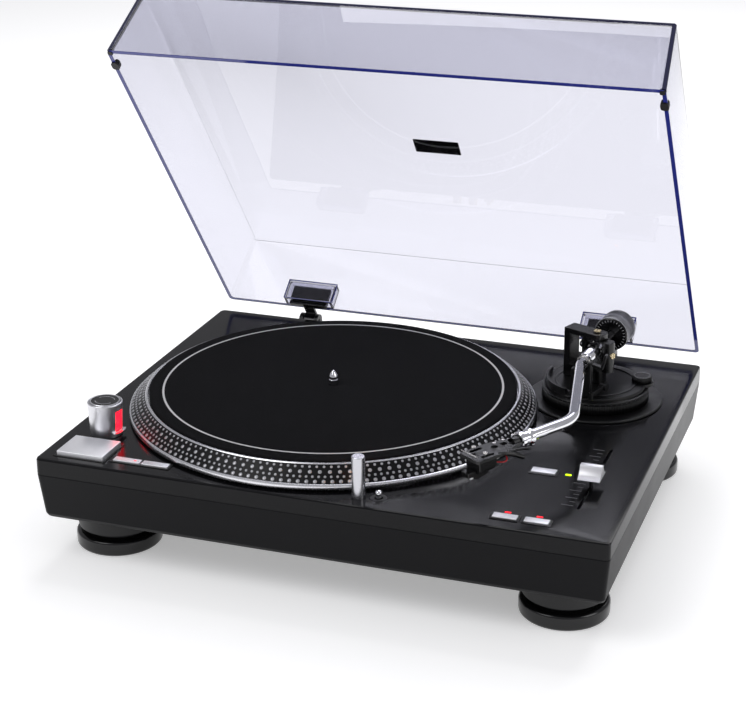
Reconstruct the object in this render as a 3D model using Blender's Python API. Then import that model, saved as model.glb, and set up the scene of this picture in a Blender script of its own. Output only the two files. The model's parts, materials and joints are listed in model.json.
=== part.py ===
"""A direct-drive turntable with its dust cover open, as separate parts on their joint axes.

Sizes are in millimetres and angles in degrees; the builders below turn them into metres and
radians. Places are in the deck frame: its origin is the middle of the deck's top face, +X is
the player's right, +Y the back and +Z up. The tonearm's own frame has -Y along the line from
its pivot to the stylus.
"""

import math

import bmesh
import bpy
from mathutils import Matrix, Vector

MM = 0.001
SEAT = 0.3  # air between two pieces that rest on each other
RUN = 0.4  # air round a piece that slides or turns
THROUGH = 1.0  # how far a cutter runs past the wall it cuts

# Deck and case
DECK_WIDTH = 450.0
DECK_DEPTH = 355.0
DECK_CORNER = 4.0
DECK_SKIRT = 13.5
DECK_PLATE = 3.0
CASE_WALL = 3.0
CASE_HEIGHT = 51.3  # from the deck's top face to the case's underside
CASE_TAPER = 3.2
CASE_EDGE = 4.0
FOOT_HEIGHT = 33.7
FOOT_RADIUS = 34.0
FOOT_SIDE_INSET = 43.0
FOOT_FRONT_INSET = 50.5
FOOT_BACK_INSET = 42.5

# Platter and motor
PLATTER_PLACE = (-44.0, -6.0)
PLATTER_RADIUS = 166.0
PLATTER_LIFT = 1.6  # under the rim, above the deck
RIM_BAND = 4.4
DOT_BAND_WIDTH = 12.0
PLATTER_HEIGHT = 17.4
MAT_RADIUS = PLATTER_RADIUS - 16.5
MAT_FLOOR = 15.0
MAT_THICKNESS = 3.7
WELL_RADIUS = PLATTER_RADIUS - 3.0
WELL_DEPTH = 8.0
SPINDLE_RADIUS = 3.6
SPINDLE_TIP = 31.0
SHAFT_RADIUS = 5.0
MOTOR_RADIUS = 78.0
STATOR_POLES = 12

# Power and strobe tower
TOWER_FROM_LEFT = 31.0
TOWER_FROM_FRONT = 60.5
TOWER_TOP_RADIUS = 14.0
TOWER_BASE_RADIUS = 12.5
TOWER_HEIGHT = 28.0
WINDOW_WIDTH = 9.0
WINDOW_AIM = -6.5  # of its middle, round from +X
WINDOW_BOTTOM = 5.0
WINDOW_TOP = 22.0

# Push buttons: name, distance from the side edge, distance from the front edge
START_SIZE = (39.4, 31.8)
START_TOP = 4.0
START_FROM_LEFT = 33.2
START_FROM_FRONT = 26.4
SPEED_SIZE = (22.0, 6.8)
SPEED_FROM_LEFT = 70.5
SPEED_PITCH = 23.6
SPEED_FROM_FRONT = 17.7
KEY_SIZE = (18.2, 7.3)
KEY_FROM_RIGHT = 57.0
KEY_PITCH = 23.5
KEY_FROM_FRONT = 17.2
RESET_SIZE = (19.0, 8.2)
RESET_FROM_RIGHT = 73.4
RESET_FROM_FRONT = 100.5
BUTTON_TOP = 1.5
BUTTON_DEPTH = 6.0
BEZEL_WALL = 1.4
BEZEL_TOP = 0.6

# Pitch fader
FADER_FROM_RIGHT = 34.2
FADER_SLOT_MIDDLE = 101.9  # from the front edge
FADER_SLOT = (2.4, 110.0)
FADER_CAP = (16.6, 20.6, 17.3)
FADER_CAP_LOW = 7.8  # its underside, above the deck
FADER_REST = -14.7  # the cap's place from the slot's middle
FADER_STEM = (1.6, 6.0)

# Target light
LIGHT_ANGLE = -63.479  # round the platter from +X
LIGHT_FROM_RIM = 3.532
LIGHT_RADIUS = 5.15
LIGHT_HEIGHT = 33.0
LIGHT_TRAVEL = 31.0
SOCKET_WALL = 2.5
RELEASE_FROM_LIGHT = (14.6, 3.1)
RELEASE_RADIUS = 2.65
RELEASE_TOP = 6.3

# Tonearm base
PIVOT_FROM_SPINDLE = (199.0, 82.5)
BASE_PLATE_RADIUS = 55.0
RING_RADIUS = 44.0
RING_BOTTOM = 2.4
RING_TOP = 12.8
COLLAR_RADIUS = 36.0
COLUMN_RADIUS = 33.1
PEDESTAL_RADIUS = 41.0
PEDESTAL_TOP = 15.5
SCREEN_RADIUS = 41.0
SCREEN_TOP = 20.5
FRAME_ANGLE = -21.9
FRAME_LEFT = 28.0  # the frame's ends and faces, from the pivot
FRAME_RIGHT = 8.0
FRAME_DEPTH = 14.1
FRAME_TOP = 58.0
FRAME_POST = 6.0
FRAME_SILL = 27.5
FRAME_HEAD = 53.5
SKATE_PLACE = (36.0, 11.5)
SKATE_RADIUS = 8.3
SKATE_TOP = 20.6
LEVER_PLACE = (12.0, -23.0)
LEVER_ANGLE = -17.0
LEVER_LENGTH = 21.0
LIFT_RADIUS = 14.5
LIFT_HEADINGS = (15.5, 58.0)  # the ends of its arc, left of straight ahead
LIFT_POST = 1.5
LIFT_GAP = 2.6  # between the lowered lift and the tube

# Tonearm
PIVOT_HEIGHT = 44.0
REST_HEADING = 9.2  # of the pivot-to-stylus line, left of straight ahead
REST_TILT = 0.97
LEG_ANGLES = (-2.4, -20.0, 23.0)  # left of the pivot-to-stylus line
LEG_LENGTHS = (36.2, 111.4, 104.3)  # to the bends, then to the headshell's front edge
BEND_RADIUS = 32.0
TUBE_RADIUS = 4.3
TUBE_WALL = 0.8
STUB_RADIUS = 3.5
STUB_LENGTH = 58.0
OFFSET_ANGLE = 22.3  # of the level pivots, from square to the pivot-to-stylus line
BLOCK_RADIUS = 12.0
BLOCK_POST_RADIUS = 5.2
BLOCK_GAP = 7.6  # from the pivot to the faces on each side of the tube
HUB_RADIUS = 5.6
HUB_LENGTH = 8.0
NOSE_END = 27.0
REST_DISTANCE = 34.5
REST_GAP = 2.2  # under the tube in its rest
CLIP_OPEN_ANGLE = 105.0
WEIGHT_RADIUS = 14.5
WEIGHT_FRONT = 36.2
WEIGHT_LENGTH = 20.0
DIAL_LENGTH = 2.4
SLEEVE_RADIUS = 6.5
SHELL_LENGTH = 47.0
SHELL_HALF_WIDTH = 10.3
SHELL_THICKNESS = 2.5
COLLAR_LENGTH = 13.0
STYLUS_DROP = 16.2
CARTRIDGE_START = 4.0  # behind the headshell's front edge
CARTRIDGE_SIZE = (15.0, 16.5)

# Dust cover and its hinges
LID_WIDTH = 442.0
LID_DEPTH = 354.5
LID_HEIGHT = 67.0
LID_WALL = 3.0
LID_DRAFT = 4.7
LID_CORNER = 4.0
LID_RIM = 4.0  # of the closed cover above the deck
LID_OPEN_ANGLE = 52.1
HINGE_BEHIND = 8.4
HINGE_BELOW = 4.6
HINGE_SPREAD = 279.0
POCKET_SIZE = (47.0, 11.3, 20.6)
BLADE_SIZE = (36.0, 4.0, 15.5)
EAR_RADIUS = 7.0
BARREL_RADIUS = 5.5
BARREL_WIDTH = 10.0
PIN_RADIUS = 2.4

# Electronics inside the case
BOARD_SIZE = (150.0, 84.0)
BOARD_GAP = 4.7  # behind the target light's socket

# Rear connections
PANEL_SIZE = (120.0, 28.0)
PANEL_THICKNESS = 4.0
PANEL_DROP = 32.5
JACK_PITCH = 16.0
INLET_SIZE = (26.0, 18.0, 20.0)
INLET_MOUTH = (19.0, 9.6, 12.0)

GLOSS_BLACK = ("gloss_black", (0.012, 0.012, 0.014), 0.28, 0.0)
SOFT_BLACK = ("soft_black", (0.02, 0.02, 0.022), 0.55, 0.0)
BRUSHED = ("brushed_aluminium", (0.75, 0.75, 0.77), 0.32, 1.0)
CHROME = ("chrome", (0.85, 0.85, 0.87), 0.08, 1.0)
STEEL = ("steel", (0.5, 0.5, 0.52), 0.4, 1.0)
BRASS = ("brass", (0.75, 0.58, 0.28), 0.3, 1.0)
FELT = ("felt", (0.015, 0.015, 0.016), 0.95, 0.0)
RUBBER = ("rubber", (0.02, 0.02, 0.02), 0.7, 0.0)
BOARD = ("circuit_board", (0.02, 0.2, 0.07), 0.5, 0.0)
COPPER = ("copper", (0.8, 0.4, 0.2), 0.35, 1.0)
RED_LENS = ("red_lens", (0.8, 0.02, 0.03), 0.2, 0.0)
ACRYLIC = ("acrylic", (0.72, 0.73, 0.85), 0.05, 0.0)


def left(distance):
    return -DECK_WIDTH / 2 + distance


def right(distance):
    return DECK_WIDTH / 2 - distance


def front(distance):
    return -DECK_DEPTH / 2 + distance


def back(distance):
    return DECK_DEPTH / 2 - distance


ARM_PIVOT = (PLATTER_PLACE[0] + PIVOT_FROM_SPINDLE[0], PLATTER_PLACE[1] + PIVOT_FROM_SPINDLE[1])
HINGE_AXIS = (0.0, back(-HINGE_BEHIND), -HINGE_BELOW)
GROUND = -CASE_HEIGHT - FOOT_HEIGHT


# Outlines and meshes


def metres(values):
    return Vector([value * MM for value in values])


def rounded_outline(width, depth, radius, centre=(0.0, 0.0), steps=3):
    """A rectangle with round corners, counter-clockwise."""
    points = []
    for corner in range(4):
        side_x = 1 if corner in (0, 3) else -1
        side_y = 1 if corner in (0, 1) else -1
        middle_x = centre[0] + side_x * (width / 2 - radius)
        middle_y = centre[1] + side_y * (depth / 2 - radius)
        for step in range(steps + 1):
            angle = math.radians(90 * (corner + step / steps))
            points.append((middle_x + radius * math.cos(angle), middle_y + radius * math.sin(angle)))
    return points


def box_outline(width, depth, centre=(0.0, 0.0)):
    half_x, half_y = width / 2, depth / 2
    corners = ((half_x, half_y), (-half_x, half_y), (-half_x, -half_y), (half_x, -half_y))
    return [(centre[0] + x, centre[1] + y) for x, y in corners]


def arc_outline(inner, outer, start, end, steps):
    """A band between two radii, from one angle to another."""
    angles = [math.radians(start + (end - start) * step / steps) for step in range(steps + 1)]
    outside = [(outer * math.cos(a), outer * math.sin(a)) for a in angles]
    return outside + [(inner * math.cos(a), inner * math.sin(a)) for a in reversed(angles)]


def circle_outline(radius, centre=(0.0, 0.0), segments=32):
    angles = [math.tau * step / segments for step in range(segments)]
    return [(centre[0] + radius * math.cos(a), centre[1] + radius * math.sin(a)) for a in angles]


def finished(bm, name):
    """The mesh of a closed bmesh, shaded smooth up to its sharp edges."""
    bmesh.ops.recalc_face_normals(bm, faces=bm.faces)
    mesh = bpy.data.meshes.new(name)
    bm.to_mesh(mesh)
    bm.free()
    mesh.shade_smooth()
    mesh.set_sharp_from_angle(angle=math.radians(35))
    return mesh


def loft(rings, name="loft"):
    """A closed body through rings of equally many points, each (x, y, z), capped at both ends."""
    bm = bmesh.new()
    loops = [[bm.verts.new(metres(point)) for point in ring] for ring in rings]
    count = len(loops[0])
    for lower, upper in zip(loops, loops[1:]):
        for index in range(count):
            following = (index + 1) % count
            bm.faces.new((lower[index], lower[following], upper[following], upper[index]))
    bm.faces.new(reversed(loops[0]))
    bm.faces.new(loops[-1])
    return finished(bm, name)


def slab(outline, bottom, top):
    return loft([[(x, y, z) for x, y in outline] for z in (bottom, top)], "slab")


def extruded_side(profile, start, end):
    """A (y, z) profile extruded along X from start to end."""
    return loft([[(x, y, z) for y, z in profile] for x in (start, end)], "side")


def turned(profile, segments=32):
    """A closed (radius, height) profile spun round Z."""
    bm = bmesh.new()
    points = [bm.verts.new(metres((radius, 0, height))) for radius, height in profile]
    edges = [bm.edges.new(pair) for pair in zip(points, points[1:] + points[:1]) if not on_axis(pair)]
    bmesh.ops.spin(
        bm, geom=points + edges, cent=(0, 0, 0), axis=(0, 0, 1),
        angle=math.tau, steps=segments, use_merge=True,
    )
    bmesh.ops.remove_doubles(bm, verts=bm.verts, dist=1e-7)
    return finished(bm, "turned")


def on_axis(pair):
    return all(abs(vertex.co.x) < 1e-9 for vertex in pair)


def rod(radius, start, end, segments=20):
    """A cylinder between two points."""
    start, end = Vector(start), Vector(end)
    turn = (end - start).to_track_quat("Z", "Y")
    rings = []
    for middle in (start, end):
        ring = [middle + turn @ Vector((x, y, 0)) for x, y in circle_outline(radius, segments=segments)]
        rings.append(ring)
    return loft(rings, "rod")


def sweep(path, radii, segments=12):
    """A round bar of changing radius along a level path of (x, y) points."""
    rings = []
    for index, (x, y) in enumerate(path):
        before, after = path[max(index - 1, 0)], path[min(index + 1, len(path) - 1)]
        along = Vector((after[0] - before[0], after[1] - before[1])).normalized()
        ring = []
        for across, up in circle_outline(radii[index], segments=segments):
            ring.append((x - across * along.y, y + across * along.x, up))
        rings.append(ring)
    return loft(rings, "sweep")


def moved(mesh, place=(0, 0, 0), turn=0.0):
    """The mesh turned round Z and then moved."""
    mesh.transform(Matrix.Translation(metres(place)) @ Matrix.Rotation(math.radians(turn), 4, "Z"))
    return mesh


# Objects


def material(finish):
    name, colour, roughness, metallic = finish
    found = bpy.data.materials.get(name)
    if found:
        return found
    made = bpy.data.materials.new(name)
    made.use_nodes = True
    shader = made.node_tree.nodes["Principled BSDF"]
    shader.inputs["Base Color"].default_value = (*colour, 1)
    shader.inputs["Roughness"].default_value = roughness
    shader.inputs["Metallic"].default_value = metallic
    if finish in (ACRYLIC, RED_LENS):
        shader.inputs["Alpha"].default_value = 0.4
    return made


def axis_empty(name, place, parent=None, turn=(0.0, 0.0, 0.0)):
    empty = bpy.data.objects.new(name, None)
    empty.empty_display_size = 0.02
    return placed(empty, place, parent, turn)


def placed(item, place, parent, turn=(0.0, 0.0, 0.0)):
    item.parent = parent
    item.location = metres(place)
    item.rotation_euler = [math.radians(angle) for angle in turn]
    bpy.context.scene.collection.objects.link(item)
    return item


def helper(mesh, owner, kind):
    """A hidden body that joins or cuts its owner, in the owner's own coordinates."""
    body = bpy.data.objects.new(f"{owner.name}_{kind}", mesh)
    body.hide_render = True
    body.display_type = "WIRE"
    bpy.context.scene.collection.objects.link(body)
    body.parent = owner
    return body


def node(name, mesh, finish, parent, place=(0, 0, 0), joins=(), cuts=()):
    """A named part: its mesh, with the joined bodies added and the cutters taken away."""
    body = placed(bpy.data.objects.new(name, mesh), place, parent)
    mesh.materials.append(material(finish))
    for kind, operation, others in (("join", "UNION", joins), ("cut", "DIFFERENCE", cuts)):
        for other in others:
            boolean = body.modifiers.new(kind, "BOOLEAN")
            boolean.operation = operation
            boolean.solver = "EXACT"
            boolean.object = other if isinstance(other, bpy.types.Object) else helper(other, body, kind)
    return body


# Deck, case and feet


def inset_outline(inset, centre_y=0.0, width=DECK_WIDTH, depth=DECK_DEPTH, corner=DECK_CORNER):
    return rounded_outline(width - 2 * inset, depth - 2 * inset, corner, (0, centre_y))


def deck_ring(height, inset):
    return [(x, y, height) for x, y in inset_outline(inset)]


def control_cutters():
    """The holes that the controls and the tonearm pass through."""
    low, high = -DECK_PLATE - THROUGH, THROUGH
    bezel_gap = 2 * (BEZEL_WALL + RUN + SEAT)
    cutters = [slab(box_outline(START_SIZE[0] + bezel_gap, START_SIZE[1] + bezel_gap, start_place()), low, high)]
    speed_width = SPEED_SIZE[0] + SPEED_PITCH + bezel_gap
    cutters.append(slab(box_outline(speed_width, SPEED_SIZE[1] + bezel_gap, speed_middle()), low, high))
    for size, place in small_buttons():
        cutters.append(slab(box_outline(size[0] + 2 * RUN, size[1] + 2 * RUN, place), low, high))
    cutters.append(slab(box_outline(*FADER_SLOT, fader_middle()), low, high))
    cutters.append(slab(circle_outline(SHAFT_RADIUS, tower_place(), 20), low, high))
    cutters.append(slab(circle_outline(LIGHT_RADIUS + RUN, light_place(), 24), low, high))
    cutters.append(slab(circle_outline(RELEASE_RADIUS + RUN, release_place(), 16), low, high))
    cutters.append(slab(circle_outline(COLUMN_RADIUS + 2 * RUN, ARM_PIVOT, 40), low, high))
    return cutters


def top_cover(root):
    body = loft([
        deck_ring(-DECK_SKIRT, 0), deck_ring(-1.4, 0), deck_ring(-0.4, 0.4), deck_ring(0, 1.4),
    ], "top_cover")
    hollow = slab(inset_outline(CASE_WALL), -DECK_SKIRT - THROUGH, -DECK_PLATE)
    dish = slab(circle_outline(WELL_RADIUS + CASE_WALL, PLATTER_PLACE, 72),
                -DECK_PLATE - WELL_DEPTH, THROUGH)
    well = slab(circle_outline(WELL_RADIUS, PLATTER_PLACE, 72), -WELL_DEPTH, THROUGH)
    opening = slab(circle_outline(MOTOR_RADIUS, PLATTER_PLACE, 48), -DECK_SKIRT - THROUGH, THROUGH)
    cover = node("top_cover", body, GLOSS_BLACK, root, cuts=[hollow, well, opening, *control_cutters()])
    room = cover.modifiers[0].object
    spared = room.modifiers.new("dish", "BOOLEAN")
    spared.operation = "DIFFERENCE"
    spared.solver = "EXACT"
    spared.object = helper(dish, room, "dish")


def bottom_case(root):
    top = -DECK_SKIRT - SEAT
    floor = -CASE_HEIGHT + CASE_WALL
    body = loft([
        deck_ring(-CASE_HEIGHT, CASE_TAPER + CASE_EDGE),
        deck_ring(-CASE_HEIGHT + 1.3, CASE_TAPER + 1.3),
        deck_ring(-CASE_HEIGHT + CASE_EDGE, CASE_TAPER),
        deck_ring(top, 0),
        deck_ring(top, CASE_WALL),
        deck_ring(floor, CASE_TAPER + CASE_WALL),
    ], "bottom_case")
    width, height = PANEL_SIZE[0] + 2 * SEAT, PANEL_SIZE[1] + 2 * SEAT
    window = slab(box_outline(width, 30, (0, back(5))), -PANEL_DROP - height / 2, -PANEL_DROP + height / 2)
    node("bottom_case", body, SOFT_BLACK, root, cuts=[window])


def feet(root):
    outer, top = FOOT_RADIUS, FOOT_HEIGHT - SEAT
    profile = [
        (0, 0), (outer - 1.5, 0), (outer, 1.5), (outer, 9.5), (outer - 1.2, 12), (outer - 4, 13),
        (outer - 8, 13), (outer - 8, 16.5), (outer - 2, 16.5), (outer - 2, top), (0, top),
    ]
    rows = (("front", front(FOOT_FRONT_INSET)), ("rear", back(FOOT_BACK_INSET)))
    sides = (("left", left(FOOT_SIDE_INSET)), ("right", right(FOOT_SIDE_INSET)))
    for row, y in rows:
        for side, x in sides:
            node(f"foot_{row}_{side}", turned(profile, 28), RUBBER, root, (x, y, GROUND))


# Platter and motor


def platter(root):
    axis = axis_empty("platter_axis", (*PLATTER_PLACE, 0), root)
    rim, low, band = PLATTER_RADIUS, PLATTER_LIFT, PLATTER_LIFT + RIM_BAND
    inner = rim - 1.5 - DOT_BAND_WIDTH
    skirt = WELL_RADIUS - 3
    profile = [
        (SHAFT_RADIUS + SEAT, 4), (40, 4), (44, 11), (skirt - 5, 11), (skirt - 5, -5), (skirt, -5), (skirt, low),
        (rim - 0.8, low), (rim, low + 0.8), (rim, band - 0.8), (rim - 1.2, band),
        (inner, PLATTER_HEIGHT - 0.6), (inner - 0.5, PLATTER_HEIGHT), (MAT_RADIUS + 1.2, PLATTER_HEIGHT),
        (MAT_RADIUS + 2 * SEAT, MAT_FLOOR), (SHAFT_RADIUS + SEAT, MAT_FLOOR),
    ]
    node("platter", turned(profile, 64), BRUSHED, axis)
    mat_low = MAT_FLOOR + SEAT
    mat_top = mat_low + MAT_THICKNESS
    mat = [
        (SPINDLE_RADIUS + SEAT, mat_low), (MAT_RADIUS, mat_low), (MAT_RADIUS, mat_top - 0.6),
        (MAT_RADIUS - 0.8, mat_top), (SPINDLE_RADIUS + SEAT, mat_top),
    ]
    node("slipmat", turned(mat, 56), FELT, axis)
    pin_top = SPINDLE_TIP
    spindle = [
        (0, -30), (SHAFT_RADIUS - 1, -30), (SHAFT_RADIUS, -29), (SHAFT_RADIUS, MAT_FLOOR),
        (SPINDLE_RADIUS, MAT_FLOOR), (SPINDLE_RADIUS, pin_top - 6), (SPINDLE_RADIUS * 0.55, pin_top - 2),
        (1, pin_top - 0.3), (0, pin_top),
    ]
    node("spindle", turned(spindle, 20), CHROME, axis)
    magnet = [(69, -7), (75, -7), (75, 11 - SEAT), (69, 11 - SEAT)]
    node("rotor_magnet", turned(magnet, 36), STEEL, axis)


def motor(root):
    """The fixed half of the motor: pole wheel, mounting plate and bearing tube."""
    x, y = PLATTER_PLACE
    outline = []
    for pole in range(STATOR_POLES):
        for radius, share in ((48, -0.32), (66, -0.32), (66, 0.32), (48, 0.32)):
            angle = math.tau * (pole + share) / STATOR_POLES
            outline.append((radius * math.cos(angle), radius * math.sin(angle)))
    core = slab(outline, -8, 1)
    hole = slab(circle_outline(SHAFT_RADIUS + 6, segments=24), -9, 2)
    node("motor_stator", core, COPPER, root, (x, y, 0), cuts=[hole])
    low = -DECK_PLATE - WELL_DEPTH - SEAT
    bore = SHAFT_RADIUS + RUN
    profile = [
        (bore, -34), (9, -34), (10, -33), (10, low - 2), (MOTOR_RADIUS + 6, low - 2), (MOTOR_RADIUS + 6, low),
        (60, low), (60, -8 - SEAT), (20, -8 - SEAT), (20, low), (10, low), (10, 2), (bore, 2),
    ]
    node("motor_base", turned(profile, 32), STEEL, root, (x, y, 0))


# Electronics inside the case


def electronics(root):
    floor = -CASE_HEIGHT + CASE_WALL
    core = slab(box_outline(58, 48), 0, 28)
    bobbin = slab(box_outline(34, 62), 5, 23)
    node("transformer", core, STEEL, root, (right(60), back(120), floor + SEAT), joins=[bobbin])
    width, depth = BOARD_SIZE
    board = slab(box_outline(width, depth), 4, 5.6)
    risers = [slab(circle_outline(3, (x, y), 10), 0, 4.5) for x in (-70, 70) for y in (-37, 37)]
    chips = [slab(box_outline(24, 18, (-30, 8)), 5, 9), slab(box_outline(14, 30, (45, -10)), 5, 18)]
    socket_back = light_place()[1] + LIGHT_RADIUS + RUN + SOCKET_WALL
    place = (right(140), socket_back + BOARD_GAP + depth / 2, floor + SEAT)
    node("main_board", board, BOARD, root, place, joins=risers + chips)


def rear_connections(root):
    y = back(CASE_WALL + 1)
    width, height = PANEL_SIZE
    inlet_x, switch_x = width / 2 - 24, 0
    jack_x = [-width / 2 + 18 + JACK_PITCH * step for step in (0, 1)]
    post_x = jack_x[1] + JACK_PITCH
    panel = slab(box_outline(width, PANEL_THICKNESS), -height / 2, height / 2)
    holes = [rod(3.6, (x, -6, 0), (x, 6, 0), 16) for x in jack_x + [post_x]]
    holes.append(slab(box_outline(INLET_SIZE[0] + 2 * SEAT, 12, (inlet_x, 0)),
                      -INLET_SIZE[1] / 2 - SEAT, INLET_SIZE[1] / 2 + SEAT))
    holes.append(slab(box_outline(10, 12, (switch_x, 0)), -2.5, 2.5))
    node("rear_panel", panel, SOFT_BLACK, root, (0, y, -PANEL_DROP), cuts=holes)
    outside = PANEL_THICKNESS / 2 + SEAT
    for name, x in (("rca_left", jack_x[0]), ("rca_right", jack_x[1])):
        flange = rod(5.6, (0, outside, 0), (0, outside + 2, 0), 6)
        parts = [rod(3.2, (0, -8, 0), (0, outside + 1, 0), 16), rod(4.2, (0, outside + 1, 0), (0, outside + 10, 0))]
        node(name, flange, BRASS, root, (x, y, -PANEL_DROP), joins=parts)
    nut = rod(4.6, (0, outside, 0), (0, outside + 6, 0), 16)
    stud = rod(1.8, (0, -7, 0), (0, outside + 9, 0), 12)
    node("ground_post", nut, BRASS, root, (post_x, y, -PANEL_DROP), joins=[stud])
    power_inlet(root, (inlet_x, y, -PANEL_DROP))
    axis = axis_empty("phono_line_axis", (switch_x, y, -PANEL_DROP), root)
    slider = slab(box_outline(3.6, 4, (-2.2, outside + 1.4)), -2, 2)
    shoe = slab(box_outline(3.6, 6, (-2.2, 0)), -2, 2)
    node("phono_line_switch", slider, SOFT_BLACK, axis, joins=[shoe])


def power_inlet(root, place):
    """A two-pin appliance inlet with its mouth to the back."""
    width, height, depth = INLET_SIZE
    mouth_width, mouth_height, mouth_depth = INLET_MOUTH
    outside = PANEL_THICKNESS / 2 + 1
    body = slab(box_outline(width, depth, (0, outside - depth / 2)), -height / 2, height / 2)
    mouth = slab(box_outline(mouth_width, mouth_depth * 2, (0, outside)), -mouth_height / 2, mouth_height / 2)
    node("power_inlet", body, SOFT_BLACK, root, place, cuts=[mouth])


# Controls


def tower_place():
    return (left(TOWER_FROM_LEFT), front(TOWER_FROM_FRONT))


def start_place():
    return (left(START_FROM_LEFT), front(START_FROM_FRONT))


def speed_middle():
    return (left(SPEED_FROM_LEFT) + SPEED_PITCH / 2, front(SPEED_FROM_FRONT))


def fader_middle():
    return (right(FADER_FROM_RIGHT), front(FADER_SLOT_MIDDLE))


def light_place():
    angle = math.radians(LIGHT_ANGLE)
    reach = PLATTER_RADIUS + LIGHT_FROM_RIM + LIGHT_RADIUS
    return (PLATTER_PLACE[0] + reach * math.cos(angle), PLATTER_PLACE[1] + reach * math.sin(angle))


def release_place():
    x, y = light_place()
    return (x + RELEASE_FROM_LIGHT[0], y + RELEASE_FROM_LIGHT[1])


def small_buttons():
    """Size and place of the three buttons on the right."""
    return (
        (KEY_SIZE, (right(KEY_FROM_RIGHT) - KEY_PITCH, front(KEY_FROM_FRONT))),
        (KEY_SIZE, (right(KEY_FROM_RIGHT), front(KEY_FROM_FRONT))),
        (RESET_SIZE, (right(RESET_FROM_RIGHT), front(RESET_FROM_FRONT))),
    )


def power_tower(root):
    x, y = tower_place()
    aim = WINDOW_AIM
    wide, narrow, high = TOWER_TOP_RADIUS, TOWER_BASE_RADIUS, TOWER_HEIGHT
    recess, bore = wide - 1.6, 8.0
    profile = [
        (bore, SEAT), (narrow, SEAT), (wide, high - 0.6), (wide - 0.5, high), (recess, high),
        (recess, high - 2), (bore, high - 2),
    ]
    window = moved(slab(box_outline(14, WINDOW_WIDTH, (narrow, 0)), WINDOW_BOTTOM, WINDOW_TOP), turn=aim)
    node("strobe_tower", turned(profile, 32), BRUSHED, root, (x, y, 0), cuts=[window])
    reach = narrow - 1.6
    lens = slab(box_outline(reach - bore - SEAT, WINDOW_WIDTH - 2 * SEAT, ((reach + bore + SEAT) / 2, 0)),
                WINDOW_BOTTOM + SEAT, WINDOW_TOP - SEAT)
    node("strobe_lens", moved(lens, turn=aim), RED_LENS, root, (x, y, 0))
    axis = axis_empty("power_axis", (x, y, 0), root)
    cap = recess - RUN
    knob = [
        (0, -8), (3, -8), (3, high - 2 + SEAT), (cap, high - 2 + SEAT), (cap, high + 0.1), (cap - 0.4, high + 0.5),
        (0, high + 0.5),
    ]
    node("power_knob", turned(knob, 32), SOFT_BLACK, axis)


def button(name, size, place, top, depth, finish, root):
    axis = axis_empty(f"{name}_axis", (*place, 0), root)
    ring = [(x, y, z) for z in (-depth, top - 0.5) for x, y in rounded_outline(*size, 0.6, steps=1)]
    crown = rounded_outline(size[0] - 0.8, size[1] - 0.8, 0.6, steps=1)
    half = len(ring) // 2
    body = loft([ring[:half], ring[half:], [(x, y, top) for x, y in crown]], name)
    node(name, body, finish, axis)


def bezel(name, width, depth, place, root):
    """A frame in the deck's cut-out, round one button or a pair."""
    outer = slab(rounded_outline(width + 2 * (RUN + BEZEL_WALL), depth + 2 * (RUN + BEZEL_WALL), 0.8, steps=1),
                 -BUTTON_DEPTH, BEZEL_TOP)
    inner = slab(box_outline(width + 2 * RUN, depth + 2 * RUN), -BUTTON_DEPTH - THROUGH, BEZEL_TOP + THROUGH)
    node(name, outer, SOFT_BLACK, root, (*place, 0), cuts=[inner])


def buttons(root):
    button("start_stop_button", START_SIZE, start_place(), START_TOP, 3, BRUSHED, root)
    bezel("start_stop_bezel", *START_SIZE, start_place(), root)
    x, y = speed_middle()
    for name, side in (("speed_button_33", -0.5), ("speed_button_45", 0.5)):
        button(name, SPEED_SIZE, (x + side * SPEED_PITCH, y), BUTTON_TOP, 4, BRUSHED, root)
    bezel("speed_bezel", SPEED_PITCH + SPEED_SIZE[0], SPEED_SIZE[1], (x, y), root)
    names = ("range_button", "key_button", "reset_button")
    for name, (size, place) in zip(names, small_buttons()):
        button(name, size, place, BUTTON_TOP, BUTTON_DEPTH, BRUSHED, root)


def pitch_fader(root):
    x, y = fader_middle()
    length = FADER_SLOT[1] + 16
    channel = slab(box_outline(12, length), -DECK_PLATE - SEAT - 8, -DECK_PLATE - SEAT)
    room = slab(box_outline(8, length - 6), -DECK_PLATE - 7, 0)
    node("fader_track", channel, STEEL, root, (x, y, 0), cuts=[room])
    axis = axis_empty("fader_axis", (x, y + FADER_REST, 0), root)
    half, low, high = FADER_CAP[1] / 2, FADER_CAP_LOW, FADER_CAP[2]
    flank = [(1.0, 0.09), (0.85, 0.17), (0.62, 0.3), (0.44, 0.5), (0.32, 0.72), (0.26, 0.87), (0.2, 1.0)]
    front_flank = [(half * out, low + (high - low) * up) for out, up in flank]
    profile = [(-half + 0.6, low), (half - 0.6, low), *front_flank]
    profile += [(-across, up) for across, up in reversed(front_flank)]
    body = extruded_side(profile, -FADER_CAP[0] / 2, FADER_CAP[0] / 2)
    stem = slab(box_outline(*FADER_STEM), -DECK_PLATE - 5, low + 1)
    node("fader_cap", body, BRUSHED, axis, joins=[stem])


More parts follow.
